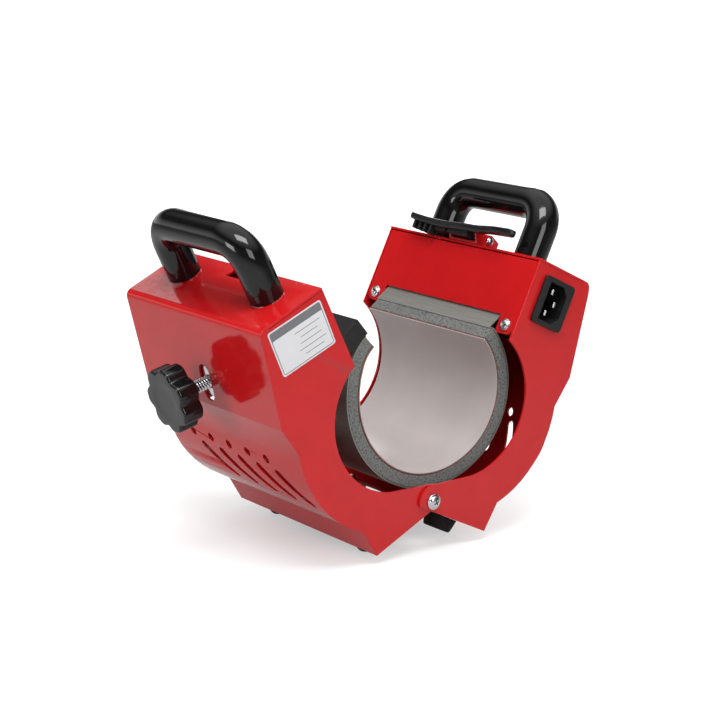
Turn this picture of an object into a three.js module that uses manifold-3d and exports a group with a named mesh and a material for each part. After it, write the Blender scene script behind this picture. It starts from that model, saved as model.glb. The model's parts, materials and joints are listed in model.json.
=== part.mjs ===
// Clamshell mug heat press, standing open. Millimetres, +Z up.
// Each half is drawn closed, with x outward from the mating plane, z up and the hinge axis at zero,
// and is then tilted outward about the hinge axis. The left half is the mirror image.
import * as THREE from "three";
import { mergeVertices } from "three/addons/utils/BufferGeometryUtils.js";
import Module from "manifold-3d";

const wasm = await Module();
wasm.setup();

// Whole press: its length comes from the blanket, the covers beside it and the end plates
const openAngle = THREE.MathUtils.degToRad(26);
const sheet = 1.5;
const seatGap = 0.3;
const runningGap = 0.4;
const cutOverrun = 3;
const blanketLength = 118;
const blanketOffsetY = -2.5;
const tabInset = 2;
const notchClearance = 1.5;
const coverLegWidth = 15;
const tabLength = blanketLength - 2 * tabInset;
const rightNotchHalf = tabLength / 2 + notchClearance;
const leftNotchHalf = blanketLength / 2 - blanketOffsetY + notchClearance;
const halfLength = rightNotchHalf + coverLegWidth + runningGap + sheet;
const leftHalfLength = halfLength - sheet - runningGap;

// Profile of a half
const mateX = 12.6;
const topZ = 164.5;
const topOuterX = 60.7;
const shoulderX = 72.8;
const shoulderZ = 104.1;
const bellyRadius = 72;
const bellyCentreZ = 64;
const bellyStart = THREE.MathUtils.degToRad(16);
const bellyEnd = THREE.MathUtils.degToRad(-44.5);
const baseX = 49.4;
const baseZ = -6;
const baseSheetStart = 12.5;
const topBendRadius = 4;
const boreRadius = 48;
const boreOffsetX = 2.5;
const boreEnd = THREE.MathUtils.degToRad(-58);
const tongueRadius = 10.4;

// Vents in the belly
const ventPitch = 20;
const ventCount = 5;
const ventCentreY = 0;
const ventWidth = 5;
const ventTop = THREE.MathUtils.degToRad(2.4);
const ventDrop = 25.4;
const ventOvalHeight = 6;
const ventOvalGap = 2.4;
const leftVentLean = THREE.MathUtils.degToRad(45);
const rightVentLean = THREE.MathUtils.degToRad(24);

// Handles
const handleX = 32.3;
const handleSpacing = 88.6;
const handleRise = 38;
const gripRadius = 10.6;
const gripBend = 20;
const handleBoltRadius = 3;
const handleBoltLength = 16;
const handleBoltHead = 5.5;
const handleBoltHeadHeight = 4;

// Feet
const footX = 36;
const footInset = 28.4;
const footTopRadius = 10.5;
const footBottomRadius = 9;
const footHeight = 8.85;
const footScrewRadius = 2;
const footScrewDepth = 5.5;
const footScrewHead = 4;
const footScrewHeadHeight = 2.6;

// Hinge bolts
const hingeBoltRadius = 3;
const hingeHeadRadius = 5;
const hingeHeadHeight = 3.2;
const hingeNutRadius = 5.5;
const hingeNutHeight = 4.7;

// Inner covers, and the lugs that take their screws
const coverTopGap = 0.7;
const coverRecess = 0.4;
const coverCorner = 5;
const coverLip = 4;
const rightNotchZ = 124.6;
const leftNotchZ = 129;
const coverLegDrop = 11.8;
const coverScrewRise = 5.8;
const lugInset = 0.9;
const lugRise = 8.4;
const coverScrewRadius = 2;
const coverScrewHead = 4;
const coverScrewHeadHeight = 2.4;
const coverScrewLength = 9;

// Heater blanket, about the hinge axis
const rightArcX = 14.6;
const rightArcZ = 62.3;
const rightArcRadius = 46.8;
const rightArcEnd = THREE.MathUtils.degToRad(40);
const arcJoin = THREE.MathUtils.degToRad(-56);
const leftArcRadius = 55.8;
const leftArcEnd = THREE.MathUtils.degToRad(-199);
const lipArcRadius = 25;
const lipArcEnd = THREE.MathUtils.degToRad(-230);
const arcStep = THREE.MathUtils.degToRad(6);
const wideArcStep = THREE.MathUtils.degToRad(45);
const liner = 0.5;
const heatingMat = 0.6;
const foam = 7.6;
const band = 0.7;
const layerGap = 0.2;
const tabTopZ = 141;

// Clamp bar on the free end of the blanket
const barWidth = 23;
const barThickness = 12;
const barOverhang = 2;
const barLug = 14;
const barLugLow = 6.5;
const barLugHigh = 9;
const barLugWidth = 16;
const barLugReach = 44.9;
const lugFaceWall = 5.5;
const lugBackWall = 3;
const lugWindow = 5.3;

// Pressure screw, its nut and its knob
const slotZ = 119;
const slotLength = 24;
const slotWidth = 11;
const screwRadius = 4;
const neckRadius = 3;
const clipRadius = 4.8;
const clipThickness = 1.2;
const clipOffset = 1.6;
const nutBlockSide = 17;
const nutBlockHeight = 20;
const nutBlockDepth = 10;
const channelLength = 28;
const knobStandoff = 11.5;
const knobHubRadius = 9;
const knobHubHeight = 5;
const knobRadius = 20.6;
const knobThickness = 13.5;
const knobLobes = 7;
const knobLobeDepth = 3;
const knobPointsPerLobe = 6;
const knobBevel = 1.4;
const knobBore = 14;

// Mains inlet
const inletX = 34.4;
const inletDrop = 22.7;
const inletFlangeWidth = 26.6;
const inletFlangeHeight = 30.6;
const inletFlange = 2.2;
const inletCorner = 2.5;
const inletBodyWidth = 22.4;
const inletBodyHeight = 27.4;
const inletBodyCorner = 1.5;
const inletBodyDepth = 21;
const wellWidth = 17;
const wellHeight = 24.4;
const wellChamfer = 5;
const wellDepth = 18;
const pinWidth = 4;
const pinThickness = 2;
const pinLength = 16;
const pinTail = 7;
const pinSpacing = 14;
const pinOffset = 2.4;

// Control panel on the right outer wall
const panelY = 14;
const panelLength = 86;
const panelHeight = 40;
const panelThickness = 2.4;
const panelCorner = 4;
const panelLip = 4;
const windowY = 14;
const windowLength = 46;
const windowHeight = 24;
const windowCorner = 2;
const windowInset = 0.6;
const windowThickness = 1.4;
const buttonY = -22;
const buttonRadius = 3.8;
const buttonPitch = 10.4;
const buttonProud = 1.5;
const buttonCrown = 0.5;
const buttonFlange = 0.9;
const buttonFlangeThickness = 0.9;
const postRadius = 2.4;
const postInset = 3.6;
const boardDepth = 11;
const boardThickness = 1.6;
const relayY = 24;
const relayLength = 20;
const relayHeight = 16;
const relayDepth = 15;
const capacitorY = -12;
const capacitorRadius = 5;
const capacitorDepth = 13;

// Power switch on the right outer wall
const switchInset = 23.4;
const rockerLength = 12;
const rockerHeight = 18;
const rockerSweep = 1.4;
const rockerTilt = THREE.MathUtils.degToRad(8);
const rockerPivot = 3.5;
const rockerBack = 6;
const rockerCrest = 2.4;
const rockerValley = 0.9;
const switchWall = 1.5;
const switchBezel = 2;
const switchBezelThickness = 1.8;
const switchDepth = 18;
const switchWellDepth = 12;

// Latch on the right top
const earY = 13;
const earTipX = 8.5;
const earTipRise = 6.5;
const earCrownX = 22.7;
const earCrownRise = 9.6;
const earBackX = 30.6;
const earBackRise = 7;
const latchPinX = 22.2;
const latchPinRise = 5.3;
const latchPinRadius = 1.5;
const latchHeadRadius = 2.9;
const latchHeadHeight = 2;
const latchNutRadius = 3.1;
const latchNutHeight = 2.4;
const hubRadius = 3.2;
const hubStart = -8;
const paddleLength = 102;
const paddleInnerX = 3.4;
const paddleOuterX = 9.8;
const paddleHeight = 8.5;
const paddleThickness = 4.6;
const paddleWave = 2;
const paddleNearShares = [[-0.95, 1], [-0.62, 0.7], [-0.35, 0], [-0.08, -0.2]];
const paddleFarShares = [[0.3, -0.65], [0.6, -0.5], [0.93, 0.15]];
const paddleFacets = 14;
const armHeight = 5.4;
const boltGuardRadius = 4.4;
const boltGuardLength = 15.5;
const finCount = 4;
const finStartY = 26;
const finPitch = 5.6;
const finThickness = 2.2;
const finDepth = 5;
const springWire = 0.45;
const springRadius = 2.7;
const springTurns = 3;

// Catch in the left top
const catchX = 17.5;
const catchWidth = 6.2;
const catchLength = 23;

// Heater lead inside the right half
const leadRadius = 1.6;
const leadStartY = 40;
const leadStartZ = 133;
const leadBendX = 30;
const leadEndY = 30;

// Facets on curved forms
const gripSides = 16;
const gripSteps = 30;
const roundSides = 20;
const smallSides = 10;
const wireSides = 5;
const wireSteps = 30;
const curveFacets = 2;
const bendFacets = 4;
const bevelFacets = 1;
const hexagonSides = 6;

const finishes = {
  redPaint: { color: 0xc5161c, roughness: 0.42, metalness: 0.1 },
  glossBlack: { color: 0x0b0b0d, roughness: 0.12, metalness: 0 },
  mattBlack: { color: 0x17181a, roughness: 0.6, metalness: 0 },
  rubber: { color: 0x131313, roughness: 0.85, metalness: 0 },
  zinc: { color: 0xc9ccd0, roughness: 0.25, metalness: 1 },
  bandSteel: { color: 0x77756f, roughness: 0.35, metalness: 0.9 },
  greyFoam: { color: 0x70736f, roughness: 0.95, metalness: 0 },
  matBrown: { color: 0x7a4a3c, roughness: 0.7, metalness: 0 },
  linerGrey: { color: 0xb4aca9, roughness: 0.45, metalness: 0 },
  windowDark: { color: 0x101418, roughness: 0.08, metalness: 0 },
  buttonGrey: { color: 0x8d9196, roughness: 0.5, metalness: 0 },
  boardGreen: { color: 0x1d5a35, roughness: 0.5, metalness: 0 },
  leadWhite: { color: 0xd8d4cc, roughness: 0.6, metalness: 0 },
};

// Solids and their joins and cuts
function solid(geometry) {
  const bare = geometry.clone();
  bare.deleteAttribute("normal");
  bare.deleteAttribute("uv");
  const merged = mergeVertices(bare);
  const corners = merged.getIndex().array;
  const kept = [];
  for (let i = 0; i < corners.length; i += 3) {
    const [a, b, c] = [corners[i], corners[i + 1], corners[i + 2]];
    if (a !== b && b !== c && c !== a) kept.push(a, b, c);
  }
  const vertProperties = new Float32Array(merged.getAttribute("position").array);
  const triVerts = new Uint32Array(kept);
  return new wasm.Manifold(new wasm.Mesh({ numProp: 3, vertProperties, triVerts }));
}

function geometryOf(body) {
  const mesh = body.getMesh();
  const geometry = new THREE.BufferGeometry();
  geometry.setAttribute("position", new THREE.BufferAttribute(mesh.vertProperties, 3));
  geometry.setIndex(new THREE.BufferAttribute(mesh.triVerts, 1));
  return geometry;
}

function join(geometries) {
  return geometryOf(geometries.map(solid).reduce((sum, next) => sum.add(next)));
}

function cut(geometry, cutters) {
  return geometryOf(cutters.map(solid).reduce((rest, next) => rest.subtract(next), solid(geometry)));
}

function mirrored(geometry) {
  const other = geometryOf(solid(geometry)).applyMatrix4(new THREE.Matrix4().makeScale(-1, 1, 1));
  const index = other.getIndex();
  for (let i = 0; i < index.count; i += 3) {
    const first = index.getX(i);
    index.setX(i, index.getX(i + 1));
    index.setX(i + 1, first);
  }
  return other;
}

// Plain forms
const axisX = new THREE.Vector3(1, 0, 0);
const axisY = new THREE.Vector3(0, 1, 0);
const axisZ = new THREE.Vector3(0, 0, 1);
const sides = [-1, 1];

function point(x, z) {
  return new THREE.Vector2(x, z);
}

function place(x, y, z) {
  return new THREE.Vector3(x, y, z);
}

function extruded(shape, depth) {
  return new THREE.ExtrudeGeometry(shape, { depth, bevelEnabled: false, curveSegments: curveFacets });
}

// An outline in x and z, carried along y
function alongY(shape, fromY, toY) {
  const turn = new THREE.Matrix4().makeBasis(axisX, axisZ, axisY.clone().negate());
  return extruded(shape, toY - fromY).applyMatrix4(turn).translate(0, toY, 0);
}

// An outline in y and z, carried along x
function alongX(shape, fromX, toX) {
  const turn = new THREE.Matrix4().makeBasis(axisY, axisZ, axisX);
  return extruded(shape, toX - fromX).applyMatrix4(turn).translate(fromX, 0, 0);
}

function block(fromX, toX, fromY, toY, fromZ, toZ) {
  const form = new THREE.BoxGeometry(toX - fromX, toY - fromY, toZ - fromZ);
  return form.translate((fromX + toX) / 2, (fromY + toY) / 2, (fromZ + toZ) / 2);
}

function roundedRectangle(width, height, corner) {
  const [right, top] = [width / 2, height / 2];
  const quarter = Math.PI / 2;
  const shape = new THREE.Shape();
  shape.moveTo(-right + corner, -top);
  shape.absarc(right - corner, -top + corner, corner, -quarter, 0, false);
  shape.absarc(right - corner, top - corner, corner, 0, quarter, false);
  shape.absarc(-right + corner, top - corner, corner, quarter, Math.PI, false);
  shape.absarc(-right + corner, -top + corner, corner, Math.PI, Math.PI + quarter, false);
  return shape;
}

// A revolved profile of radius and height, set on an axis
function turned(profile, base, direction, facets = roundSides) {
  const points = profile.map(([radius, height]) => point(radius, height));
  const turn = new THREE.Quaternion().setFromUnitVectors(axisY, direction.clone().normalize());
  const form = new THREE.LatheGeometry(points, facets);
  return form.applyQuaternion(turn).translate(base.x, base.y, base.z);
}

function cylinder(radius, from, to, facets = roundSides) {
  const direction = to.clone().sub(from);
  const length = direction.length();
  return turned([[0, 0], [radius, 0], [radius, length], [0, length]], from, direction, facets);
}

// A round-headed screw seated at the base, with its shank against the direction
function screw(head, headHeight, shank, length, base, direction) {
  const [rimShare, crownShare] = [0.45, 0.6];
  const profile = [
    [0, -length],
    [shank, -length],
    [shank, 0],
    [head, 0],
    [head, headHeight * rimShare],
    [head * crownShare, headHeight],
    [0, headHeight],
  ];
  return turned(profile, base, direction, smallSides);
}

function hexagonNut(radius, bore, height, base, direction) {
  const body = cylinder(radius, base, base.clone().addScaledVector(direction, height), hexagonSides);
  const start = base.clone().addScaledVector(direction, -cutOverrun);
  const end = base.clone().addScaledVector(direction, height + cutOverrun);
  return cut(body, [cylinder(bore, start, end, smallSides)]);
}

function arc(centreX, centreZ, radius, from, to, step = arcStep) {
  const count = Math.max(2, Math.round(Math.abs(to - from) / step));
  return Array.from({ length: count + 1 }, (_, i) => {
    const angle = from + ((to - from) * i) / count;
    return point(centreX + radius * Math.cos(angle), centreZ + radius * Math.sin(angle));
  });
}

// The same path set aside by a distance, to the right of its run
function aside(path, distance) {
  return path.map((here, i) => {
    const into = here.clone().sub(path[Math.max(i - 1, 0)]).normalize();
    const onward = path[Math.min(i + 1, path.length - 1)].clone().sub(here).normalize();
    if (i === 0) into.copy(onward);
    if (i === path.length - 1) onward.copy(into);
    const side = point(into.y + onward.y, -into.x - onward.x).normalize();
    return here.clone().addScaledVector(side, distance / (side.x * into.y - side.y * into.x));
  });
}

// A strip of even width along a path, with round ends
function strip(path, half, step = arcStep) {
  const quarter = Math.PI / 2;
  const [start, end] = [path[0], path[path.length - 1]];
  const into = path[1].clone().sub(start).angle();
  const out = end.clone().sub(path[path.length - 2]).angle();
  return new THREE.Shape([
    ...aside(path, half),
    ...arc(end.x, end.y, half, out - quarter, out + quarter, step).slice(1, -1),
    ...aside(path, -half).reverse(),
    ...arc(start.x, start.y, half, into + quarter, into + 3 * quarter, step).slice(1, -1),
  ]);
}

function bend(before, corner, after, radius) {
  const start = corner.clone().add(before.clone().sub(corner).setLength(radius));
  const end = corner.clone().add(after.clone().sub(corner).setLength(radius));
  return new THREE.QuadraticBezierCurve(start, corner, end).getPoints(bendFacets);
}

// Sheet-metal shell of a half
const topInner = point(mateX, topZ);
const topOuter = point(topOuterX, topZ);
const shoulder = point(shoulderX, shoulderZ);
const baseCorner = point(baseX, baseZ);

function wallPath() {
  return [
    topInner,
    ...bend(topInner, topOuter, shoulder, topBendRadius),
    shoulder,
    ...arc(0, bellyCentreZ, bellyRadius, bellyStart, bellyEnd),
    baseCorner,
  ];
}

function skinShape() {
  const outer = [...wallPath(), point(baseSheetStart, baseZ)];
  return new THREE.Shape([...outer, ...aside(outer, sheet).reverse()]);
}

function endPlateShape() {
  const boreStart = Math.acos((mateX + boreOffsetX) / boreRadius);
  const bore = arc(-boreOffsetX, bellyCentreZ, boreRadius, boreEnd, boreStart);
  const neck = bore[0];
  const tangent = neck.angle() + Math.acos(tongueRadius / neck.length());
  const tongueEnd = Math.PI - Math.asin(baseZ / tongueRadius);
  const tongue = arc(0, 0, tongueRadius, tongueEnd, tangent, arcStep * 2);
  return new THREE.Shape([...wallPath(), ...tongue, ...bore]);
}

function onBelly(angle, radius, y) {
  return place(radius * Math.cos(angle), y, bellyCentreZ + radius * Math.sin(angle));
}

// A vent is drawn on the flat sheet, down the belly and along it, and then wrapped round
function ventCutter(y, from, to, lean) {
  const ends = [from + ventWidth / 2, to - ventWidth / 2];
  const path = ends.map((down) => point(down, y - down * Math.tan(lean)));
  const cutter = extruded(strip(path, ventWidth / 2, wideArcStep), sheet + 2 * cutOverrun);
  const corners = cutter.getAttribute("position");
  for (let i = 0; i < corners.count; i += 1) {
    const angle = ventTop - corners.getX(i) / bellyRadius;
    const radius = bellyRadius - sheet - cutOverrun + corners.getZ(i);
    const wrapped = onBelly(angle, radius, corners.getY(i));
    corners.setXYZ(i, wrapped.x, wrapped.y, wrapped.z);
  }
  return cutter;
}

function ventCutters(lean) {
  const cutters = [];
  for (let i = 0; i < ventCount; i += 1) {
    const y = ventCentreY + (i - (ventCount - 1) / 2) * ventPitch;
    cutters.push(ventCutter(y, -ventOvalGap - ventOvalHeight, -ventOvalGap, lean));
    cutters.push(ventCutter(y, 0, ventDrop, lean));
  }
  return cutters;
}

function holeAlongZ(radius, x, y, z) {
  const from = place(x, y, z - sheet - cutOverrun);
  return cylinder(radius + seatGap, from, from.clone().setZ(z + cutOverrun), smallSides);
}

function holeAlongX(radius, x, y, z) {
  const from = place(x - cutOverrun, y, z);
  return cylinder(radius + seatGap, from, from.clone().setX(x + sheet + cutOverrun), smallSides);
}

const coverFace = mateX + coverRecess;
const coverTopZ = topZ - sheet - coverTopGap;
const coverBottomZ = rightNotchZ - coverLegDrop;
const coverScrewZ = coverBottomZ + coverScrewRise;
const lugFace = coverFace + sheet + seatGap;
const footReach = halfLength - footInset;
const switchY = -halfLength + switchInset;

function coverSide(length) {
  return length - sheet - runningGap;
}

function coverScrewY(length, notchHalf) {
  return (coverSide(length) + notchHalf) / 2;
}

function coverLug(side, length, notchHalf) {
  const ends = [side * (notchHalf + lugInset), side * (length - sheet / 2)];
  const [fromY, toY] = [Math.min(...ends), Math.max(...ends)];
  return block(lugFace, lugFace + sheet, fromY, toY, coverBottomZ + sheet, coverScrewZ + lugRise);
}

function shellOf(length, notchHalf, ventLean) {
  const plate = endPlateShape();
  const body = join([
    alongY(skinShape(), -length, length),
    alongY(plate, -length, -length + sheet),
    alongY(plate, length - sheet, length),
    ...sides.map((side) => coverLug(side, length, notchHalf)),
  ]);
  const screwY = coverScrewY(length, notchHalf);
  const hinge = cylinder(
    hingeBoltRadius + seatGap,
    place(0, -length - cutOverrun, 0),
    place(0, length + cutOverrun, 0),
  );
  return cut(body, [
    hinge,
    ...ventCutters(ventLean),
    ...sides.map((side) => holeAlongX(coverScrewRadius, lugFace, side * screwY, coverScrewZ)),
    ...sides.map((side) => holeAlongZ(handleBoltRadius, handleX, (side * handleSpacing) / 2, topZ)),
    ...sides.map((side) => holeAlongZ(footScrewRadius, footX, side * footReach, baseZ + sheet)),
  ]);
}

// Frame on the slanted outer wall: x outward, y along the press, z up the wall
const wallRun = topOuter.clone().sub(shoulder);
const wallLean = Math.atan2(-wallRun.x, wallRun.y);
const panelSeat = shoulder.clone().addScaledVector(wallRun, 0.5);
const slotSeat = shoulder.clone().addScaledVector(wallRun, (slotZ - shoulderZ) / wallRun.y);

function onWall(geometry, seat) {
  return geometry.rotateY(-wallLean).translate(seat.x, 0, seat.y);
}

function wallOpening(shape, y, seat) {
  return onWall(alongX(shape, -sheet - cutOverrun, cutOverrun).translate(0, y, 0), seat);
}

function screwSlot() {
  return roundedRectangle(slotWidth, slotLength, slotWidth / 2);
}

const wellLength = rockerLength + 2 * seatGap;
const wellRise = rockerHeight + 2 * rockerSweep;
const switchLength = wellLength + 2 * switchWall;
const switchRise = wellRise + 2 * switchWall;

function rightShell() {
  const panelHole = roundedRectangle(
    panelLength - 2 * panelLip,
    panelHeight - 2 * panelLip,
    panelCorner,
  );
  const switchHole = roundedRectangle(switchLength + 2 * seatGap, switchRise + 2 * seatGap, sheet);
  const inletHole = block(
    inletX - inletBodyWidth / 2 - seatGap,
    inletX + inletBodyWidth / 2 + seatGap,
    -halfLength - cutOverrun,
    -halfLength + sheet + cutOverrun,
    inletZ - inletBodyHeight / 2 - seatGap,
    inletZ + inletBodyHeight / 2 + seatGap,
  );
  return cut(shellOf(halfLength, rightNotchHalf, rightVentLean), [
    inletHole,
    wallOpening(panelHole, panelY, panelSeat),
    wallOpening(switchHole, switchY, panelSeat),
  ]);
}

function leftShell() {
  const catchHole = block(
    catchX,
    catchX + catchWidth,
    -catchLength / 2,
    catchLength / 2,
    topZ - sheet - cutOverrun,
    topZ + cutOverrun,
  );
  return cut(shellOf(leftHalfLength, leftNotchHalf, leftVentLean), [
    catchHole,
    wallOpening(screwSlot(), 0, slotSeat),
  ]);
}

// Inner cover, notched for the blanket's end
function coverOf(length, notchHalf, notchZ) {
  const side = coverSide(length);
  const quarter = Math.PI / 2;
  const cornerZ = coverBottomZ + coverCorner;
  const shape = new THREE.Shape();
  shape.moveTo(-notchHalf, coverBottomZ);
  shape.lineTo(-notchHalf, notchZ);
  shape.lineTo(notchHalf, notchZ);
  shape.lineTo(notchHalf, coverBottomZ);
  shape.absarc(side - coverCorner, cornerZ, coverCorner, -quarter, 0, false);
  shape.lineTo(side, coverTopZ);
  shape.lineTo(-side, coverTopZ);
  shape.absarc(-side + coverCorner, cornerZ, coverCorner, Math.PI, Math.PI + quarter, false);
  const lip = block(coverFace, coverFace + coverLip, -side, side, coverTopZ - sheet, coverTopZ);
  const screwY = coverScrewY(length, notchHalf);
  return cut(
    join([alongX(shape, coverFace, coverFace + sheet), lip]),
    sides.map((end) => holeAlongX(coverScrewRadius, coverFace, end * screwY, coverScrewZ)),
  );
}

function coverScrew(y) {
  const seat = place(coverFace - seatGap, y, coverScrewZ);
  const outward = axisX.clone().negate();
  return screw(
    coverScrewHead,
    coverScrewHeadHeight,
    coverScrewRadius,
    coverScrewLength,
    seat,
    outward,
  );
}

// Bent tube handle, drilled for its bolts
function handle() {
  const reach = handleSpacing / 2;
  const start = topZ + seatGap;
  const grip = topZ + handleRise;
  const roundShare = 0.55;
  const corner = (side) => place(handleX, side * reach, grip);
  const legTop = (side) => place(handleX, side * reach, grip - gripBend);
  const gripEnd = (side) => place(handleX, side * (reach - gripBend), grip);
  const path = new THREE.CurvePath();
  path.add(new THREE.LineCurve3(place(handleX, -reach, start), legTop(-1)));
  path.add(
    new THREE.CubicBezierCurve3(
      legTop(-1),
      legTop(-1).lerp(corner(-1), roundShare),
      gripEnd(-1).lerp(corner(-1), roundShare),
      gripEnd(-1),
    ),
  );
  path.add(new THREE.LineCurve3(gripEnd(-1), gripEnd(1)));
  path.add(
    new THREE.CubicBezierCurve3(
      gripEnd(1),
      gripEnd(1).lerp(corner(1), roundShare),
      legTop(1).lerp(corner(1), roundShare),
      legTop(1),
    ),
  );
  path.add(new THREE.LineCurve3(legTop(1), place(handleX, reach, start)));
  const section = arc(0, 0, gripRadius, 0, Math.PI * 2, (Math.PI * 2) / gripSides).slice(0, -1);
  const tube = new THREE.ExtrudeGeometry(new THREE.Shape(section), {
    steps: gripSteps,
    extrudePath: path,
    bevelEnabled: false,
  });
  const drilled = sides.map((side) => {
    const low = place(handleX, side * reach, topZ - cutOverrun);
    const high = low.clone().setZ(topZ + handleBoltLength);
    return cylinder(handleBoltRadius + seatGap, low, high, smallSides);
  });
  return cut(tube, drilled);
}

function handleBolt(y) {
  const seat = place(handleX, y, topZ - sheet - seatGap);
  const down = axisZ.clone().negate();
  return screw(
    handleBoltHead,
    handleBoltHeadHeight,
    handleBoltRadius,
    handleBoltLength,
    seat,
    down,
  );
}

// Feet and their screws
function foot(y) {
  const edgeShare = 0.88;
  const profile = [
    [0, -footHeight],
    [footBottomRadius * edgeShare, -footHeight],
    [footBottomRadius, -footHeight * edgeShare],
    [footTopRadius, 0],
    [0, 0],
  ];
  const low = place(footX, y, baseZ - footScrewDepth - 2 * seatGap);
  const hole = cylinder(
    footScrewRadius + seatGap,
    low,
    low.clone().setZ(baseZ + cutOverrun),
    smallSides,
  );
  return cut(turned(profile, place(footX, y, baseZ - seatGap), axisZ), [hole]);
}

function footScrew(y) {
  const seat = place(footX, y, baseZ + sheet + seatGap);
  return screw(
    footScrewHead,
    footScrewHeadHeight,
    footScrewRadius,
    footScrewDepth + sheet,
    seat,
    axisZ,
  );
}

// Hinge bolts through both pairs of end plates
const hingeInside = leftHalfLength - sheet - seatGap;

function hingeBolt(side) {
  const seat = place(0, side * (halfLength + seatGap), 0);
  const reach = halfLength + seatGap - hingeInside + hingeNutHeight + sheet;
  const outward = axisY.clone().multiplyScalar(side);
  return screw(hingeHeadRadius, hingeHeadHeight, hingeBoltRadius, reach, seat, outward);
}

function hingeNut(side) {
  const base = place(0, side * hingeInside, 0);
  const inward = axisY.clone().multiplyScalar(-side);
  return hexagonNut(hingeNutRadius, hingeBoltRadius + seatGap, hingeNutHeight, base, inward);
}

// Heater blanket: layers on three tangent arcs
const matStart = liner + layerGap;
const foamStart = matStart + heatingMat + layerGap;
const bandStart = foamStart + foam + layerGap;
const joinReach = leftArcRadius - rightArcRadius;
const leftArcX = rightArcX - joinReach * Math.cos(arcJoin);
const leftArcZ = rightArcZ - joinReach * Math.sin(arcJoin);
const lipReach = leftArcRadius - lipArcRadius;
const lipArcX = leftArcX + lipReach * Math.cos(leftArcEnd);
const lipArcZ = leftArcZ + lipReach * Math.sin(leftArcEnd);

function blanketPath(out) {
  return [
    ...arc(rightArcX, rightArcZ, rightArcRadius + out, rightArcEnd, arcJoin),
    ...arc(leftArcX, leftArcZ, leftArcRadius + out, arcJoin, leftArcEnd).slice(1),
    ...arc(lipArcX, lipArcZ, lipArcRadius + out, leftArcEnd, lipArcEnd).slice(1),
  ];
}

function layerShape(path, thickness) {
  return new THREE.Shape([...path, ...aside(path, -thickness).reverse()]);
}

function alongBlanket(shape) {
  const reach = blanketLength / 2;
  return alongY(shape, blanketOffsetY - reach, blanketOffsetY + reach);
}

function blanketLayer(start, thickness) {
  return alongBlanket(layerShape(blanketPath(start), thickness));
}

// A place in the right half, seen from the hinge axis
function tilted(x, z) {
  const [cos, sin] = [Math.cos(openAngle), Math.sin(openAngle)];
  return point(x * cos + z * sin, z * cos - x * sin);
}

const tabX = coverFace + sheet + 2 * seatGap;

function heaterBand() {
  const path = blanketPath(bandStart);
  const tabPath = [tilted(tabX, tabTopZ), tilted(tabX, rightNotchZ + runningGap), ...path.slice(0, 3)];
  return join([
    alongBlanket(layerShape(path, band)),
    alongY(layerShape(tabPath, band), -tabLength / 2, tabLength / 2),
  ]);
}

// Clamp bar in the left half, along the lip of the blanket
const lipOut = point(Math.cos(lipArcEnd), Math.sin(lipArcEnd));
const lipBack = point(-lipOut.y, lipOut.x);
const lipSeat = lipArcRadius + bandStart + band + seatGap;
const barStart = point(lipArcX, lipArcZ)
  .addScaledVector(lipOut, lipSeat)
  .addScaledVector(lipBack, -barOverhang);

// A place about the hinge axis, seen in the left half
function inLeftHalf(seen) {
  const [cos, sin] = [Math.cos(openAngle), Math.sin(openAngle)];
  return point(-seen.x * cos - seen.y * sin, seen.y * cos - seen.x * sin);
}

// Parts of the screw are drawn along its axis: x is zero at the outer wall and positive outward
const lugInner = -barLugReach - barLug;
const lugOuter = -barLugReach;
const windowFrom = lugInner + lugBackWall;
const windowTo = lugOuter - lugFaceWall;

function axial(radius, fromX, toX, facets = roundSides) {
  return cylinder(radius, place(fromX, 0, 0), place(toX, 0, 0), facets);
}

function lugOpening() {
  const beyond = barLugWidth / 2 + cutOverrun;
  return block(windowFrom, windowTo, -beyond, beyond, -lugWindow, lugWindow);
}

function clampBar() {
  const across = lipOut.clone().multiplyScalar(barThickness);
  const along = lipBack.clone().multiplyScalar(barWidth);
  const corners = [
    barStart,
    barStart.clone().add(across),
    barStart.clone().add(across).add(along),
    barStart.clone().add(along),
  ];
  const bar = alongBlanket(new THREE.Shape(corners.map(inLeftHalf)));
  const side = barLugWidth / 2;
  const lug = block(lugInner, lugOuter, -side, side, -barLugLow, barLugHigh);
  const bore = axial(neckRadius + seatGap, windowTo - cutOverrun, lugOuter + cutOverrun);
  return cut(join([bar, onWall(lug, slotSeat)]), [
    onWall(lugOpening(), slotSeat),
    onWall(bore, slotSeat),
  ]);
}

function pressureRod() {
  const tip = windowFrom + seatGap;
  const stepAt = lugOuter + seatGap;
  const end = knobStandoff + knobBore - seatGap;
  const profile = [
    [0, tip],
    [neckRadius, tip],
    [neckRadius, stepAt],
    [screwRadius, stepAt],
    [screwRadius, end],
    [0, end],
  ];
  return onWall(turned(profile, place(0, 0, 0), axisX), slotSeat);
}

function rodClip() {
  const from = windowTo - clipOffset;
  const ring = axial(clipRadius, from - clipThickness, from);
  const bore = axial(neckRadius + seatGap, from - clipThickness - cutOverrun, from + cutOverrun);
  return onWall(cut(ring, [bore]), slotSeat);
}

function nutBlock() {
  const outer = -sheet - seatGap;
  const inner = outer - nutBlockDepth;
  const [sideY, sideZ] = [nutBlockSide / 2, nutBlockHeight / 2];
  const body = block(inner, outer, -sideY, sideY, -sideZ, sideZ);
  const bore = axial(screwRadius + seatGap, inner - cutOverrun, outer + cutOverrun);
  return onWall(cut(body, [bore]), slotSeat);
}

function nutChannel() {
  const outer = -sheet - seatGap;
  const trough = outer - nutBlockDepth - seatGap;
  const back = trough - sheet;
  const inside = nutBlockSide / 2 + runningGap;
  const [length, beyond] = [channelLength / 2, channelLength / 2 + cutOverrun];
  const body = block(back, outer, -inside - sheet, inside + sheet, -length, length);
  const hollow = block(trough, outer + cutOverrun, -inside, inside, -beyond, beyond);
  const slot = alongX(screwSlot(), back - cutOverrun, trough + cutOverrun);
  return onWall(cut(body, [hollow, slot]), slotSeat);
}

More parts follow.
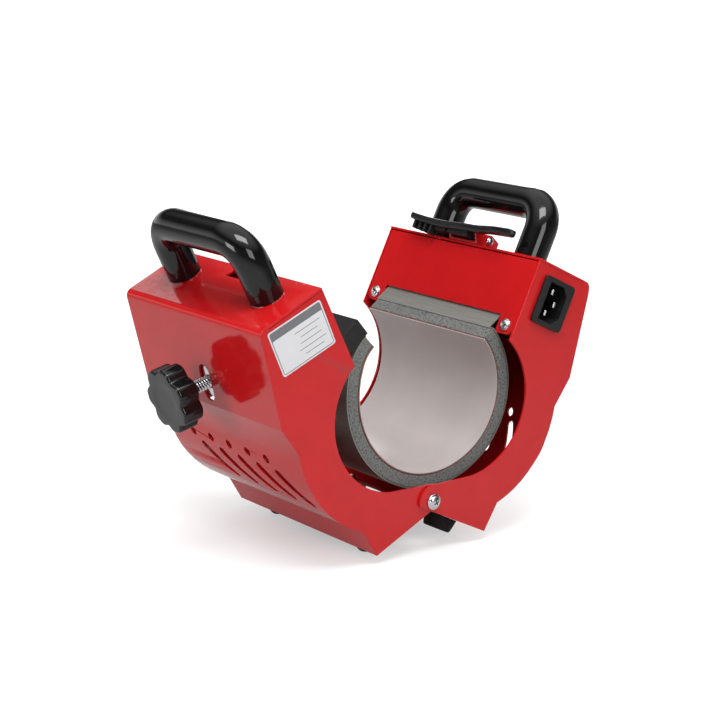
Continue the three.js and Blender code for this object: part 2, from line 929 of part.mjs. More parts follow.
// Lobed knob with a hub on its inner side
function pressureKnob() {
  const count = knobLobes * knobPointsPerLobe;
  const outline = Array.from({ length: count }, (_, i) => {
    const angle = (i / count) * Math.PI * 2;
    const wave = (1 - Math.cos(angle * knobLobes)) / 2;
    const radius = knobRadius - knobBevel - knobLobeDepth * wave ** 2;
    return point(radius * Math.cos(angle), radius * Math.sin(angle));
  });
  const form = new THREE.ExtrudeGeometry(new THREE.Shape(outline), {
    depth: knobThickness - 2 * knobBevel,
    bevelEnabled: true,
    bevelThickness: knobBevel,
    bevelSize: knobBevel,
    bevelSegments: bevelFacets,
  });
  const inner = knobStandoff + knobHubHeight;
  const turn = new THREE.Matrix4().makeBasis(axisY, axisZ, axisX);
  const grip = form.applyMatrix4(turn).translate(inner + knobBevel, 0, 0);
  const hub = axial(knobHubRadius, knobStandoff, inner + knobBevel);
  const bore = axial(screwRadius + seatGap, knobStandoff - cutOverrun, knobStandoff + knobBore);
  return onWall(cut(join([grip, hub]), [bore]), slotSeat);
}

// Mains inlet and its pins
const inletZ = topZ - inletDrop;
const inletFace = -halfLength - seatGap - inletFlange;
const wellFloor = inletFace + wellDepth;
const pinPlaces = {
  live: [-pinOffset, pinSpacing / 2],
  neutral: [-pinOffset, -pinSpacing / 2],
  earth: [pinOffset, 0],
};

function inletPin([x, z], clearance) {
  const [wide, thin] = [pinWidth / 2 + clearance, pinThickness / 2 + clearance];
  const front = wellFloor - pinLength - clearance;
  const back = inletFace + inletFlange + inletBodyDepth + pinTail + clearance;
  const form = block(-thin, thin, front, back, -wide, wide);
  return form.translate(inletX + x, 0, inletZ + z);
}

function mainsInlet() {
  const [right, top] = [wellWidth / 2, wellHeight / 2];
  const well = new THREE.Shape([
    point(-right, -top),
    point(right - wellChamfer, -top),
    point(right, -top + wellChamfer),
    point(right, top - wellChamfer),
    point(right - wellChamfer, top),
    point(-right, top),
  ]);
  const flange = roundedRectangle(inletFlangeWidth, inletFlangeHeight, inletCorner);
  const body = roundedRectangle(inletBodyWidth, inletBodyHeight, inletBodyCorner);
  const flangeBack = inletFace + inletFlange;
  const form = join([
    alongY(flange, inletFace, flangeBack),
    alongY(body, inletFace + inletFlange / 2, flangeBack + inletBodyDepth),
  ]);
  const hollow = alongY(well, inletFace - cutOverrun, wellFloor);
  const open = cut(form, [hollow]).translate(inletX, 0, inletZ);
  return cut(open, Object.values(pinPlaces).map((spot) => inletPin(spot, seatGap)));
}

// Control panel, in the frame of the outer wall
const bezelFront = seatGap + panelThickness;
const buttonPlaces = [buttonPitch, 0, -buttonPitch];
const postPlaces = sides.flatMap((end) =>
  sides.map((rise) => [
    end * (panelLength / 2 - panelLip - postInset),
    rise * (panelHeight / 2 - panelLip - postInset),
  ]),
);

function controlBezel() {
  const plate = roundedRectangle(panelLength, panelHeight, panelCorner);
  const opening = roundedRectangle(
    windowLength + 2 * seatGap,
    windowHeight + 2 * seatGap,
    windowCorner,
  );
  const posts = postPlaces.map(([y, z]) =>
    cylinder(postRadius, place(-boardDepth, y, z), place(bezelFront - seatGap, y, z), smallSides),
  );
  const holes = buttonPlaces.map((z) =>
    cylinder(
      buttonRadius + seatGap,
      place(-cutOverrun, buttonY, z),
      place(bezelFront + cutOverrun, buttonY, z),
    ),
  );
  const body = join([alongX(plate, seatGap, bezelFront), ...posts]);
  const pane = alongX(opening, -cutOverrun, bezelFront + cutOverrun).translate(0, windowY, 0);
  return onWall(cut(body, [pane, ...holes]).translate(0, panelY, 0), panelSeat);
}

function displayWindow() {
  const pane = roundedRectangle(windowLength, windowHeight, windowCorner);
  const front = bezelFront - windowInset;
  const form = alongX(pane, front - windowThickness, front);
  return onWall(form.translate(0, panelY + windowY, 0), panelSeat);
}

function button(z) {
  const front = bezelFront + buttonProud;
  const profile = [
    [0, -buttonFlangeThickness],
    [buttonRadius + buttonFlange, -buttonFlangeThickness],
    [buttonRadius + buttonFlange, 0],
    [buttonRadius, 0],
    [buttonRadius, front - buttonCrown],
    [buttonRadius - buttonCrown, front],
    [0, front],
  ];
  return onWall(turned(profile, place(0, panelY + buttonY, z), axisX), panelSeat);
}

const boardFront = -boardDepth - seatGap;
const boardBack = boardFront - boardThickness;

function controlBoard() {
  const board = roundedRectangle(
    panelLength - 2 * panelLip,
    panelHeight - 2 * panelLip,
    windowCorner,
  );
  const capacitor = cylinder(
    capacitorRadius,
    place(boardBack - capacitorDepth, capacitorY, 0),
    place(boardFront - boardThickness / 2, capacitorY, 0),
    smallSides,
  );
  const form = join([alongX(board, boardBack, boardFront), capacitor]);
  return onWall(form.translate(0, panelY, 0), panelSeat);
}

function heaterRelay() {
  const back = boardBack - seatGap;
  const [sideY, sideZ] = [relayLength / 2, relayHeight / 2];
  const form = block(back - relayDepth, back, -sideY, sideY, -sideZ, sideZ);
  return onWall(form.translate(0, panelY + relayY, 0), panelSeat);
}

// Power switch, in the frame of the outer wall
const switchFront = seatGap + switchBezelThickness;

function switchBody() {
  const flange = roundedRectangle(
    switchLength + 2 * switchBezel,
    switchRise + 2 * switchBezel,
    switchBezel,
  );
  const body = roundedRectangle(switchLength, switchRise, sheet);
  const [sideY, sideZ] = [wellLength / 2, wellRise / 2];
  const form = join([
    alongX(flange, seatGap, switchFront),
    alongX(body, -switchDepth, switchFront),
  ]);
  const well = block(-switchWellDepth, switchFront + cutOverrun, -sideY, sideY, -sideZ, sideZ);
  return onWall(cut(form, [well]).translate(0, switchY, 0), panelSeat);
}

function powerRocker() {
  const half = rockerHeight / 2;
  const backShare = 0.55;
  const shape = new THREE.Shape([
    point(-rockerBack, -half * backShare),
    point(0, -half),
    point(rockerCrest, -half),
    point(rockerValley, 0),
    point(rockerCrest, half),
    point(0, half),
    point(-rockerBack, half * backShare),
  ]);
  const form = alongY(shape, -rockerLength / 2, rockerLength / 2);
  form.translate(rockerPivot, 0, 0).rotateY(rockerTilt).translate(-rockerPivot, 0, 0);
  return onWall(form.translate(switchFront, switchY, 0), panelSeat);
}

// Latch bracket: two ears on a base
const latchPinZ = topZ + latchPinRise;
const paddleZ = topZ + paddleHeight;
const latchSeat = topZ + seatGap;
const earHalf = sheet / 2;

function pinRound(radius, fromY, toY) {
  const [from, to] = [place(latchPinX, fromY, latchPinZ), place(latchPinX, toY, latchPinZ)];
  return cylinder(radius, from, to, smallSides);
}

function latchBracket() {
  const ear = new THREE.Shape([
    point(mateX, latchSeat),
    point(earBackX, latchSeat),
    point(earBackX, topZ + earBackRise),
    point(earCrownX, topZ + earCrownRise),
    point(earTipX, topZ + earTipRise),
  ]);
  const reach = earY + earHalf;
  const body = join([
    block(mateX, earBackX, -reach, reach, latchSeat, latchSeat + sheet),
    ...sides.map((side) => alongY(ear, side * earY - earHalf, side * earY + earHalf)),
  ]);
  return cut(body, [pinRound(latchPinRadius + seatGap, -reach - cutOverrun, reach + cutOverrun)]);
}

// Latch lever: a long wavy paddle on two arms, with fins below its far end
const guardStart = earY + earHalf + runningGap;
const guardEnd = guardStart + boltGuardLength;
const hubEnd = earY - earHalf - runningGap;

function latchLever() {
  const reach = paddleLength / 2;
  const shares = [...paddleNearShares, ...paddleFarShares];
  const knots = shares.map(([y, z]) => point(y * reach, paddleZ + z * paddleWave));
  const wave = new THREE.SplineCurve(knots).getPoints(paddleFacets);
  const outline = strip(wave, paddleThickness / 2, wideArcStep);
  const paddle = alongX(outline, paddleInnerX, paddleOuterX);
  const armLow = latchPinZ - armHeight / 2;
  const armHigh = latchPinZ + armHeight / 2;
  const armFrom = (paddleInnerX + paddleOuterX) / 2;
  const spans = [[hubStart, hubEnd], [guardStart, guardEnd]];
  const arms = spans.map(([from, to]) => block(armFrom, latchPinX, from, to, armLow, armHigh));
  const risers = spans.map(([from, to]) => block(armFrom, paddleOuterX, from, to, armLow, paddleZ));
  const fins = Array.from({ length: finCount }, (_, i) => {
    const y = finStartY + i * finPitch;
    const low = paddleZ - paddleThickness - finDepth + (finDepth * i) / (2 * finCount);
    return block(paddleInnerX + sheet, paddleOuterX, y, y + finThickness, low, paddleZ);
  });
  const slots = sides.map((side) => {
    const half = earHalf + runningGap;
    const [from, to] = [side * earY - half, side * earY + half];
    const top = paddleZ + 2 * paddleWave;
    return block(earTipX - runningGap, latchPinX + cutOverrun, from, to, latchSeat, top);
  });
  const body = join([
    cut(join([paddle, ...arms, ...risers, ...fins]), slots),
    pinRound(hubRadius, hubStart, hubEnd),
    pinRound(boltGuardRadius, guardStart, guardEnd),
  ]);
  return cut(body, [pinRound(latchPinRadius + seatGap, -paddleLength, paddleLength)]);
}

function latchBolt() {
  const seat = place(latchPinX, -earY - earHalf - seatGap, latchPinZ);
  const end = guardEnd + 2 * seatGap + latchNutHeight + sheet / 2;
  const outward = axisY.clone().negate();
  return screw(latchHeadRadius, latchHeadHeight, latchPinRadius, end - seat.y, seat, outward);
}

function latchNut() {
  const base = place(latchPinX, guardEnd + seatGap, latchPinZ);
  return hexagonNut(latchNutRadius, latchPinRadius + seatGap, latchNutHeight, base, axisY);
}

// Torsion spring between the near ear and the hub
class Coil extends THREE.Curve {
  getPoint(share) {
    const from = -earY + earHalf + seatGap + springWire;
    const run = hubStart - seatGap - springWire - from;
    const angle = share * springTurns * Math.PI * 2;
    return place(
      latchPinX + springRadius * Math.cos(angle),
      from + run * share,
      latchPinZ + springRadius * Math.sin(angle),
    );
  }
}

function wire(radius, path, steps) {
  const section = arc(0, 0, radius, 0, Math.PI * 2, (Math.PI * 2) / wireSides).slice(0, -1);
  return new THREE.ExtrudeGeometry(new THREE.Shape(section), {
    steps,
    extrudePath: path,
    bevelEnabled: false,
  });
}

// Lead from the blanket's tab to the relay
function heaterLead() {
  const start = place(tabX + band + seatGap, leadStartY, leadStartZ);
  const relayBack = boardBack - relayDepth - 2 * seatGap;
  const end = place(relayBack, 0, 0).applyAxisAngle(axisY, -wallLean);
  end.add(place(panelSeat.x, leadEndY, panelSeat.y));
  const path = new THREE.CubicBezierCurve3(
    start,
    start.clone().setX(leadBendX),
    end.clone().setX(leadBendX),
    end,
  );
  return wire(leadRadius, path, gripSteps / 2);
}

// Assembly
const press = new THREE.Group();
press.name = "mug_heat_press";

function add(name, geometry, finish) {
  const form = geometryOf(solid(geometry)).toNonIndexed();
  form.computeVertexNormals();
  const material = new THREE.MeshStandardMaterial(finishes[finish]);
  material.name = finish;
  const mesh = new THREE.Mesh(form, material);
  mesh.name = name;
  press.add(mesh);
}

function addRight(name, geometry, finish) {
  add(name, geometry.rotateY(openAngle), finish);
}

function addLeft(name, geometry, finish) {
  add(name, mirrored(geometry).rotateY(-openAngle), finish);
}

function addPair(addOne, name, make, reach, finish) {
  addOne(`${name}_front`, make(-reach), finish);
  addOne(`${name}_back`, make(reach), finish);
}

function addHalf(addOne, half, length, notchHalf, notchZ) {
  addOne(`${half}_cover`, coverOf(length, notchHalf, notchZ), "redPaint");
  addPair(addOne, `${half}_cover_screw`, coverScrew, coverScrewY(length, notchHalf), "zinc");
  addOne(`${half}_handle`, handle(), "glossBlack");
  addPair(addOne, `${half}_handle_bolt`, handleBolt, handleSpacing / 2, "zinc");
  addPair(addOne, `${half}_foot`, foot, footReach, "rubber");
  addPair(addOne, `${half}_foot_screw`, footScrew, footReach, "zinc");
}

addRight("right_shell", rightShell(), "redPaint");
addHalf(addRight, "right", halfLength, rightNotchHalf, rightNotchZ);
addRight("mains_inlet", mainsInlet(), "mattBlack");
for (const [name, spot] of Object.entries(pinPlaces)) {
  addRight(`inlet_pin_${name}`, inletPin(spot, 0), "zinc");
}
addRight("control_bezel", controlBezel(), "mattBlack");
addRight("display_window", displayWindow(), "windowDark");
addRight("set_button", button(buttonPlaces[0]), "buttonGrey");
addRight("up_button", button(buttonPlaces[1]), "buttonGrey");
addRight("down_button", button(buttonPlaces[2]), "buttonGrey");
addRight("power_switch_body", switchBody(), "mattBlack");
addRight("power_rocker", powerRocker(), "glossBlack");
addRight("control_board", controlBoard(), "boardGreen");
addRight("heater_relay", heaterRelay(), "mattBlack");
addRight("heater_lead", heaterLead(), "leadWhite");
addRight("latch_bracket", latchBracket(), "redPaint");
addRight("latch_lever", latchLever(), "mattBlack");
addRight("latch_bolt", latchBolt(), "zinc");
addRight("latch_nut", latchNut(), "zinc");
addRight("latch_spring", wire(springWire, new Coil(), wireSteps), "zinc");
addPair(add, "hinge_bolt", (reach) => hingeBolt(Math.sign(reach)), halfLength, "zinc");
addPair(add, "hinge_nut", (reach) => hingeNut(Math.sign(reach)), halfLength, "zinc");
add("heater_band", heaterBand(), "bandSteel");
add("foam_pad", blanketLayer(foamStart, foam), "greyFoam");
add("heating_mat", blanketLayer(matStart, heatingMat), "matBrown");
add("liner_sheet", blanketLayer(0, liner), "linerGrey");
addLeft("left_shell", leftShell(), "redPaint");
addHalf(addLeft, "left", leftHalfLength, leftNotchHalf, leftNotchZ);
addLeft("screw_nut_block", nutBlock(), "zinc");
addLeft("nut_channel", nutChannel(), "bandSteel");
addLeft("clamp_bar", clampBar(), "mattBlack");
addLeft("pressure_rod", pressureRod(), "zinc");
addLeft("rod_clip", rodClip(), "zinc");
addLeft("pressure_knob", pressureKnob(), "glossBlack");

// The origin is the middle of the underside
const bounds = new THREE.Box3().setFromObject(press);
const centre = bounds.getCenter(new THREE.Vector3());
for (const mesh of press.children) mesh.geometry.translate(-centre.x, -centre.y, -bounds.min.z);

export default press;
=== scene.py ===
# Looks of the clamshell mug press: painted sheet metal, turned and moulded parts, the blanket and a pale studio.
import json
import math

import bmesh
import bpy
from bpy.props import FloatProperty, FloatVectorProperty, IntProperty, PointerProperty
from mathutils import Matrix, Vector

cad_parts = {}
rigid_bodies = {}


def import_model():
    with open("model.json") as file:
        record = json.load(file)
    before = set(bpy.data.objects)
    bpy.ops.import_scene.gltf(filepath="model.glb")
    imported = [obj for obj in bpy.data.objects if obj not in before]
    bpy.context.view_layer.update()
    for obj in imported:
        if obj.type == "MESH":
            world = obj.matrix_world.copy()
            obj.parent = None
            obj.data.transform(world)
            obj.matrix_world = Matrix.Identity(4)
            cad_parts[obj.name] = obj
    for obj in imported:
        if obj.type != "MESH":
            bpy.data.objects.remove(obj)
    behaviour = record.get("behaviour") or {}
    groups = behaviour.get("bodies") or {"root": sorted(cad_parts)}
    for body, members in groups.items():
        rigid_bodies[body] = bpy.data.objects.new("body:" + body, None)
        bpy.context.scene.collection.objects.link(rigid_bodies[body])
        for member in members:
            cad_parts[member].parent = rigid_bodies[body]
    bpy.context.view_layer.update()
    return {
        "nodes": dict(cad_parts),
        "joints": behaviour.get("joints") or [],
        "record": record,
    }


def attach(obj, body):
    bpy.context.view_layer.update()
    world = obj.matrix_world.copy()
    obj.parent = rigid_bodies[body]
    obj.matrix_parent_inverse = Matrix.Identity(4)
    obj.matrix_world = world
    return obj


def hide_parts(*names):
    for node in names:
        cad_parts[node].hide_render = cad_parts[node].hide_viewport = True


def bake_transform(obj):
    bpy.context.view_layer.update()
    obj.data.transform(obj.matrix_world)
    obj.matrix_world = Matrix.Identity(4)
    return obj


bl_info = {
    "name": "Mug Press Looks",
    "version": (1, 0, 0),
    "blender": (4, 5, 0),
    "location": "View3D > Sidebar > Mug Press",
    "description": "Dresses the mug press with formed metal, turned parts, a soft blanket and studio light",
    "category": "Object",
}

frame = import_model()

NODES = frame["nodes"]
SLOT_OF = {part["node"]: part["material_slot"] for part in frame["record"]["subparts"]}
BODY_OF = {
    node: body
    for body, members in frame["record"]["behaviour"]["bodies"].items()
    for node in members
}
JOINTS = {joint["name"]: joint for joint in frame["joints"]}
AXIS_X, AXIS_Y, AXIS_Z = Vector((1, 0, 0)), Vector((0, 1, 0)), Vector((0, 0, 1))

# Each half is drawn closed, x outward from the mating plane and z up, and stands tilted about the hinge
OPEN_ANGLE = math.radians(26)
HINGE = Vector(JOINTS["clamshell_hinge"]["pos_m"])
RIGHT = Matrix.Translation(HINGE) @ Matrix.Rotation(OPEN_ANGLE, 4, "Y")
LEFT = Matrix.Translation(HINGE) @ Matrix.Rotation(-OPEN_ANGLE, 4, "Y") @ Matrix.Diagonal((-1, 1, 1, 1))
HALVES = {"right": RIGHT, "left": LEFT}
WORLD = Matrix.Identity(4)


class PressColours(bpy.types.PropertyGroup):
    """Colours of the finishes, in linear light"""

    red_paint: FloatVectorProperty(
        name="Red Paint",
        description="Powder coat of the shells and covers",
        subtype="COLOR",
        size=4,
        min=0,
        max=1,
        default=(0.56, 0.010, 0.012, 1),
    )
    handle_black: FloatVectorProperty(
        name="Handle Black",
        description="Polished plastic of the handles and the knob",
        subtype="COLOR",
        size=4,
        min=0,
        max=1,
        default=(0.004, 0.004, 0.0045, 1),
    )
    moulded_black: FloatVectorProperty(
        name="Moulded Black",
        description="Plain moulded plastic of the inlet, latch and switch",
        subtype="COLOR",
        size=4,
        min=0,
        max=1,
        default=(0.010, 0.010, 0.011, 1),
    )
    foam_grey: FloatVectorProperty(
        name="Foam Grey",
        description="Silicone sponge of the blanket",
        subtype="COLOR",
        size=4,
        min=0,
        max=1,
        default=(0.165, 0.172, 0.165, 1),
    )
    mat_brown: FloatVectorProperty(
        name="Mat Brown",
        description="Silicone of the heating mat",
        subtype="COLOR",
        size=4,
        min=0,
        max=1,
        default=(0.20, 0.075, 0.045, 1),
    )
    liner_grey: FloatVectorProperty(
        name="Liner Grey",
        description="Coated cloth that touches the mug",
        subtype="COLOR",
        size=4,
        min=0,
        max=1,
        default=(0.47, 0.42, 0.41, 1),
    )
    plated_steel: FloatVectorProperty(
        name="Plated Steel",
        description="Bright plating of the screws and the rod",
        subtype="COLOR",
        size=4,
        min=0,
        max=1,
        default=(0.60, 0.61, 0.63, 1),
    )
    strip_steel: FloatVectorProperty(
        name="Strip Steel",
        description="Dull strip of the band and the channel",
        subtype="COLOR",
        size=4,
        min=0,
        max=1,
        default=(0.25, 0.245, 0.225, 1),
    )
    label_white: FloatVectorProperty(
        name="Label White",
        description="Ground of the bare rating label",
        subtype="COLOR",
        size=4,
        min=0,
        max=1,
        default=(0.72, 0.72, 0.74, 1),
    )
    label_grey: FloatVectorProperty(
        name="Label Grey",
        description="Border and heading band of the bare rating label",
        subtype="COLOR",
        size=4,
        min=0,
        max=1,
        default=(0.17, 0.175, 0.185, 1),
    )


class PressSizes(bpy.types.PropertyGroup):
    """Sizes of the details that the frame doesn't hold"""

    bend_radius: FloatProperty(
        name="Bend Radius",
        description="Outside radius where the outer wall turns into an end plate",
        unit="LENGTH",
        default=0.0024,
    )
    edge_softness: FloatProperty(
        name="Edge Softness",
        description="Rounding that the coat leaves on a cut edge",
        unit="LENGTH",
        default=0.00036,
    )
    sheet: FloatProperty(
        name="Sheet",
        description="Thickness of the shells' sheet metal",
        unit="LENGTH",
        default=0.0015,
    )
    plate_rounding: FloatProperty(
        name="Plate Rounding",
        description="Radius that the coat leaves along the end plates beside the inner cover",
        unit="LENGTH",
        default=0.0007,
    )
    seam_width: FloatProperty(
        name="Seam Width",
        description="Gap that shows where the top plate meets an end plate",
        unit="LENGTH",
        default=0.00035,
    )
    seam_drop: FloatProperty(
        name="Seam Drop",
        description="How far the seam lies below the top, which is the sheet's thickness",
        unit="LENGTH",
        default=0.0014,
    )
    handle_bend: FloatProperty(
        name="Handle Bend",
        description="Length of leg and grip that each bend of a handle takes",
        unit="LENGTH",
        default=0.0175,
    )
    handle_bend_share: FloatProperty(
        name="Handle Bend Fullness",
        description="How far the bend swings out towards its corner",
        subtype="FACTOR",
        default=0.6,
        min=0,
        max=1,
    )
    knob_lobes: IntProperty(
        name="Knob Lobes",
        description="Finger lobes round the pressure knob",
        default=7,
    )
    knob_lobe_depth: FloatProperty(
        name="Knob Lobe Depth",
        description="Depth of the hollows between the lobes",
        unit="LENGTH",
        default=0.003,
    )
    knob_rounding: FloatProperty(
        name="Knob Rounding",
        description="Radius round the knob's faces",
        unit="LENGTH",
        default=0.0016,
    )
    thread_pitch: FloatProperty(
        name="Thread Pitch",
        description="Pitch of the pressure screw",
        unit="LENGTH",
        default=0.00175,
    )
    thread_depth: FloatProperty(
        name="Thread Depth",
        description="Depth of the pressure screw's thread",
        unit="LENGTH",
        default=0.0009,
    )
    paddle_rounding: FloatProperty(
        name="Paddle Rounding",
        description="Radius along the sides of the latch lever's paddle",
        unit="LENGTH",
        default=0.0013,
    )
    spoon_width: FloatProperty(
        name="Spoon Width",
        description="How much wider than its middle the paddle's ends are",
        subtype="FACTOR",
        default=0.45,
        min=0,
        max=1,
    )
    spoon_hollow: FloatProperty(
        name="Spoon Hollow",
        description="Depth of the finger hollow in each end of the paddle",
        unit="LENGTH",
        default=0.0009,
    )
    label_width: FloatProperty(
        name="Label Width",
        description="Length of the rating label across the front plate",
        unit="LENGTH",
        default=0.0400,
    )
    label_height: FloatProperty(
        name="Label Height",
        description="Height of the rating label",
        unit="LENGTH",
        default=0.0292,
    )


class PressStudio(bpy.types.PropertyGroup):
    """Place of the camera and strength of the light"""

    camera_place: FloatVectorProperty(
        name="Camera Place",
        description="Where the camera stands",
        subtype="TRANSLATION",
        unit="LENGTH",
        default=(-0.7239, -0.9664, 0.3919),
    )
    camera_azimuth: FloatProperty(
        name="Camera Azimuth",
        description="Direction that the camera looks along, turned from the hinge line",
        subtype="ANGLE",
        default=math.radians(-36.944),
    )
    camera_elevation: FloatProperty(
        name="Camera Elevation",
        description="How far the camera looks down",
        subtype="ANGLE",
        default=math.radians(12.92),
    )
    camera_roll: FloatProperty(
        name="Camera Roll",
        description="How far the camera leans to its side",
        subtype="ANGLE",
        default=math.radians(0.316),
    )
    camera_lens: FloatProperty(
        name="Camera Lens",
        description="Focal length in millimetres on a 36 mm sensor",
        default=101.2,
    )
    room_light: FloatProperty(
        name="Room Light",
        description="Even light from the white room",
        default=0.48,
    )
    ceiling: FloatProperty(
        name="Ceiling in Gloss",
        description="Brightness of the dim wall top that glossy surfaces show",
        default=0.05,
    )
    overhead: FloatProperty(
        name="Overhead in Gloss",
        description="Brightness straight above that glossy surfaces show",
        default=1.15,
    )
    key_power: FloatProperty(
        name="Key Lamp",
        description="Power of the overhead softbox in watts",
        default=14.5,
    )
    side_power: FloatProperty(
        name="Side Lamp",
        description="Power of the softbox at the front in watts",
        default=12.0,
    )
    left_power: FloatProperty(
        name="Left Lamp",
        description="Power of the softbox at the left in watts",
        default=9.0,
    )
    back_power: FloatProperty(
        name="Back Lamp",
        description="Power of the softbox behind the right half in watts",
        default=9.0,
    )
    floor_shade: FloatProperty(
        name="Floor Shade",
        description="Grey of the floor where the object's shadow lies",
        default=0.42,
    )


# Places and sizes read from the frame
def seen_in(place, node):
    """The node's points in a half's own drawing."""
    back = place.inverted()
    return [back @ v.co for v in NODES[node].data.vertices]


def span(place, node):
    """Lowest and highest corner of a node in a half's own drawing."""
    points = seen_in(place, node)
    low = Vector(tuple(min(p[i] for p in points) for i in range(3)))
    high = Vector(tuple(max(p[i] for p in points) for i in range(3)))
    return low, high


def turned_sizes(place, node, direction):
    """Centre of a turned node, and the height and radius of its points along its axis."""
    low, high = span(place, node)
    centre = (low + high) / 2
    pairs = []
    for point in seen_in(place, node):
        height = (point - centre).dot(direction)
        pairs.append((height, (point - centre - direction * height).length))
    return centre, pairs


def aimed(base, direction):
    """A place whose z runs along the direction."""
    side = AXIS_Y if abs(direction.dot(AXIS_Y)) < 0.9 else AXIS_X
    across = (side - direction * side.dot(direction)).normalized()
    turn = Matrix((across, direction.cross(across), direction)).transposed().to_4x4()
    return Matrix.Translation(base) @ turn


# Surfaces from rows of points
def lofted(rows, capped=True):
    """A skin through closed rows of points."""
    form = bmesh.new()
    rings = [[form.verts.new(p) for p in row] for row in rows]
    for low, high in zip(rings, rings[1:]):
        for i, here in enumerate(low):
            j = (i + 1) % len(low)
            form.faces.new((here, low[j], high[j], high[i]))
    if capped:
        form.faces.new(tuple(reversed(rings[0])))
        form.faces.new(rings[-1])
    bmesh.ops.recalc_face_normals(form, faces=form.faces)
    return form


def circle(radius, height, facets):
    steps = [2 * math.pi * i / facets for i in range(facets)]
    return [Vector((radius * math.cos(a), radius * math.sin(a), height)) for a in steps]


def turned(profile, facets=48):
    """A revolved profile of radius and height."""
    return lofted([circle(radius, height, facets) for radius, height in profile])


def threaded_rows(radius, start, end, pitch, depth, facets=28, steps=6):
    """Rows of a rod whose radius follows one helix."""
    count = max(2, round((end - start) / pitch * steps))
    rows = []
    for i in range(count + 1):
        height = start + (end - start) * i / count
        run_out = min(1, min(i, count - i) / steps)
        row = []
        for j in range(facets):
            phase = (height / pitch - j / facets) % 1
            dip = depth * run_out * (1 - abs(2 * phase - 1)) ** 0.8
            angle = 2 * math.pi * j / facets
            row.append(Vector(((radius - dip) * math.cos(angle), (radius - dip) * math.sin(angle), height)))
        rows.append(row)
    return rows


def joined(forms):
    """Several skins as one mesh."""
    whole = bmesh.new()
    for form in forms:
        mesh = bpy.data.meshes.new("part")
        form.to_mesh(mesh)
        whole.from_mesh(mesh)
        bpy.data.meshes.remove(mesh)
        form.free()
    return whole


def carved(body, cutters, operation="DIFFERENCE"):
    """The first skin with the others taken away from it or added to it."""
    scene = bpy.context.scene.collection.objects
    made = []
    for form in [body, *cutters]:
        mesh = bpy.data.meshes.new("carving")
        form.to_mesh(mesh)
        made.append(bpy.data.objects.new("carving", mesh))
        scene.link(made[-1])
    for cutter in made[1:]:
        step = made[0].modifiers.new("step", "BOOLEAN")
        step.operation = operation
        step.solver = "EXACT"
        step.object = cutter
    bpy.context.view_layer.update()
    result = made[0].evaluated_get(bpy.context.evaluated_depsgraph_get())
    form = bmesh.new()
    form.from_mesh(result.data)
    for thing in made:
        mesh = thing.data
        bpy.data.objects.remove(thing)
        bpy.data.meshes.remove(mesh)
    return form


def node_form(node):
    """A node's own mesh, welded and freed of the edges inside its flat faces."""
    form = bmesh.new()
    form.from_mesh(NODES[node].data)
    bmesh.ops.remove_doubles(form, verts=form.verts, dist=0.000002)
    bmesh.ops.dissolve_limit(form, angle_limit=math.radians(0.4), verts=[], edges=form.edges)
    return form


def round_edges(form, edges, width, segments):
    bmesh.ops.bevel(
        form,
        geom=edges,
        offset=width,
        segments=segments,
        profile=0.5,
        affect="EDGES",
        clamp_overlap=True,
    )


def crisp_edges(form, least=35):
    found = []
    for edge in form.edges:
        if len(edge.link_faces) == 2 and edge.calc_face_angle() > math.radians(least):
            found.append(edge)
    return found


# Pieces and the bodies that carry them
def smooth(mesh, limit=40):
    mesh.polygons.foreach_set("use_smooth", [True] * len(mesh.polygons))
    mesh.set_sharp_from_angle(angle=math.radians(limit))


def even_normals(thing):
    step = thing.modifiers.new("even normals", "WEIGHTED_NORMAL")
    step.keep_sharp = True
    step.weight = 60


def make_piece(name, form, place, slot, body, stands_for=()):
    """Puts a skin into the scene as a piece that rides on a body."""
    form.transform(place)
    if place.determinant() < 0:
        bmesh.ops.reverse_faces(form, faces=form.faces)
    mesh = bpy.data.meshes.new(name)
    form.to_mesh(mesh)
    form.free()
    smooth(mesh)
    thing = bpy.data.objects.new(name, mesh)
    bpy.context.scene.collection.objects.link(thing)
    mesh.materials.append(finish(slot))
    even_normals(thing)
    if body:
        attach(thing, body)
    if stands_for:
        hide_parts(*stands_for)
    return thing


def stand_in(node, form, place, name=None):
    """A fuller piece in a node's place."""
    return make_piece(name or f"{node}_made", form, place, SLOT_OF[node], BODY_OF[node], [node])


def ease_group():
    """Geometry nodes that weld a node's facets and shade them smooth."""
    name = "weld and smooth"
    if name in bpy.data.node_groups:
        return bpy.data.node_groups[name]
    group = bpy.data.node_groups.new(name, "GeometryNodeTree")
    group.interface.new_socket("Geometry", in_out="INPUT", socket_type="NodeSocketGeometry")
    group.interface.new_socket("Geometry", in_out="OUTPUT", socket_type="NodeSocketGeometry")
    start = group.nodes.new("NodeGroupInput")
    weld = group.nodes.new("GeometryNodeMergeByDistance")
    weld.inputs["Distance"].default_value = 0.000002
    shade = group.nodes.new("GeometryNodeSetShadeSmooth")
    end = group.nodes.new("NodeGroupOutput")
    group.links.new(start.outputs[0], weld.inputs["Geometry"])
    group.links.new(weld.outputs[0], shade.inputs["Geometry"])
    group.links.new(shade.outputs[0], end.inputs[0])
    return group


def finish_node(node, width=None, segments=2, slot=None):
    """Keeps a node, with its finish and softly rounded edges."""
    thing = NODES[node]
    thing.data.materials.clear()
    thing.data.materials.append(finish(slot or SLOT_OF[node]))
    ease = thing.modifiers.new("weld and smooth", "NODES")
    ease.node_group = ease_group()
    flat = thing.modifiers.new("flat faces", "DECIMATE")
    flat.decimate_type = "DISSOLVE"
    flat.angle_limit = math.radians(0.4)
    rounding = thing.modifiers.new("soft edges", "BEVEL")
    rounding.width = width or bpy.context.scene.press_sizes.edge_softness
    rounding.segments = segments
    rounding.limit_method = "ANGLE"
    rounding.angle_limit = math.radians(35)
    even_normals(thing)
    return thing


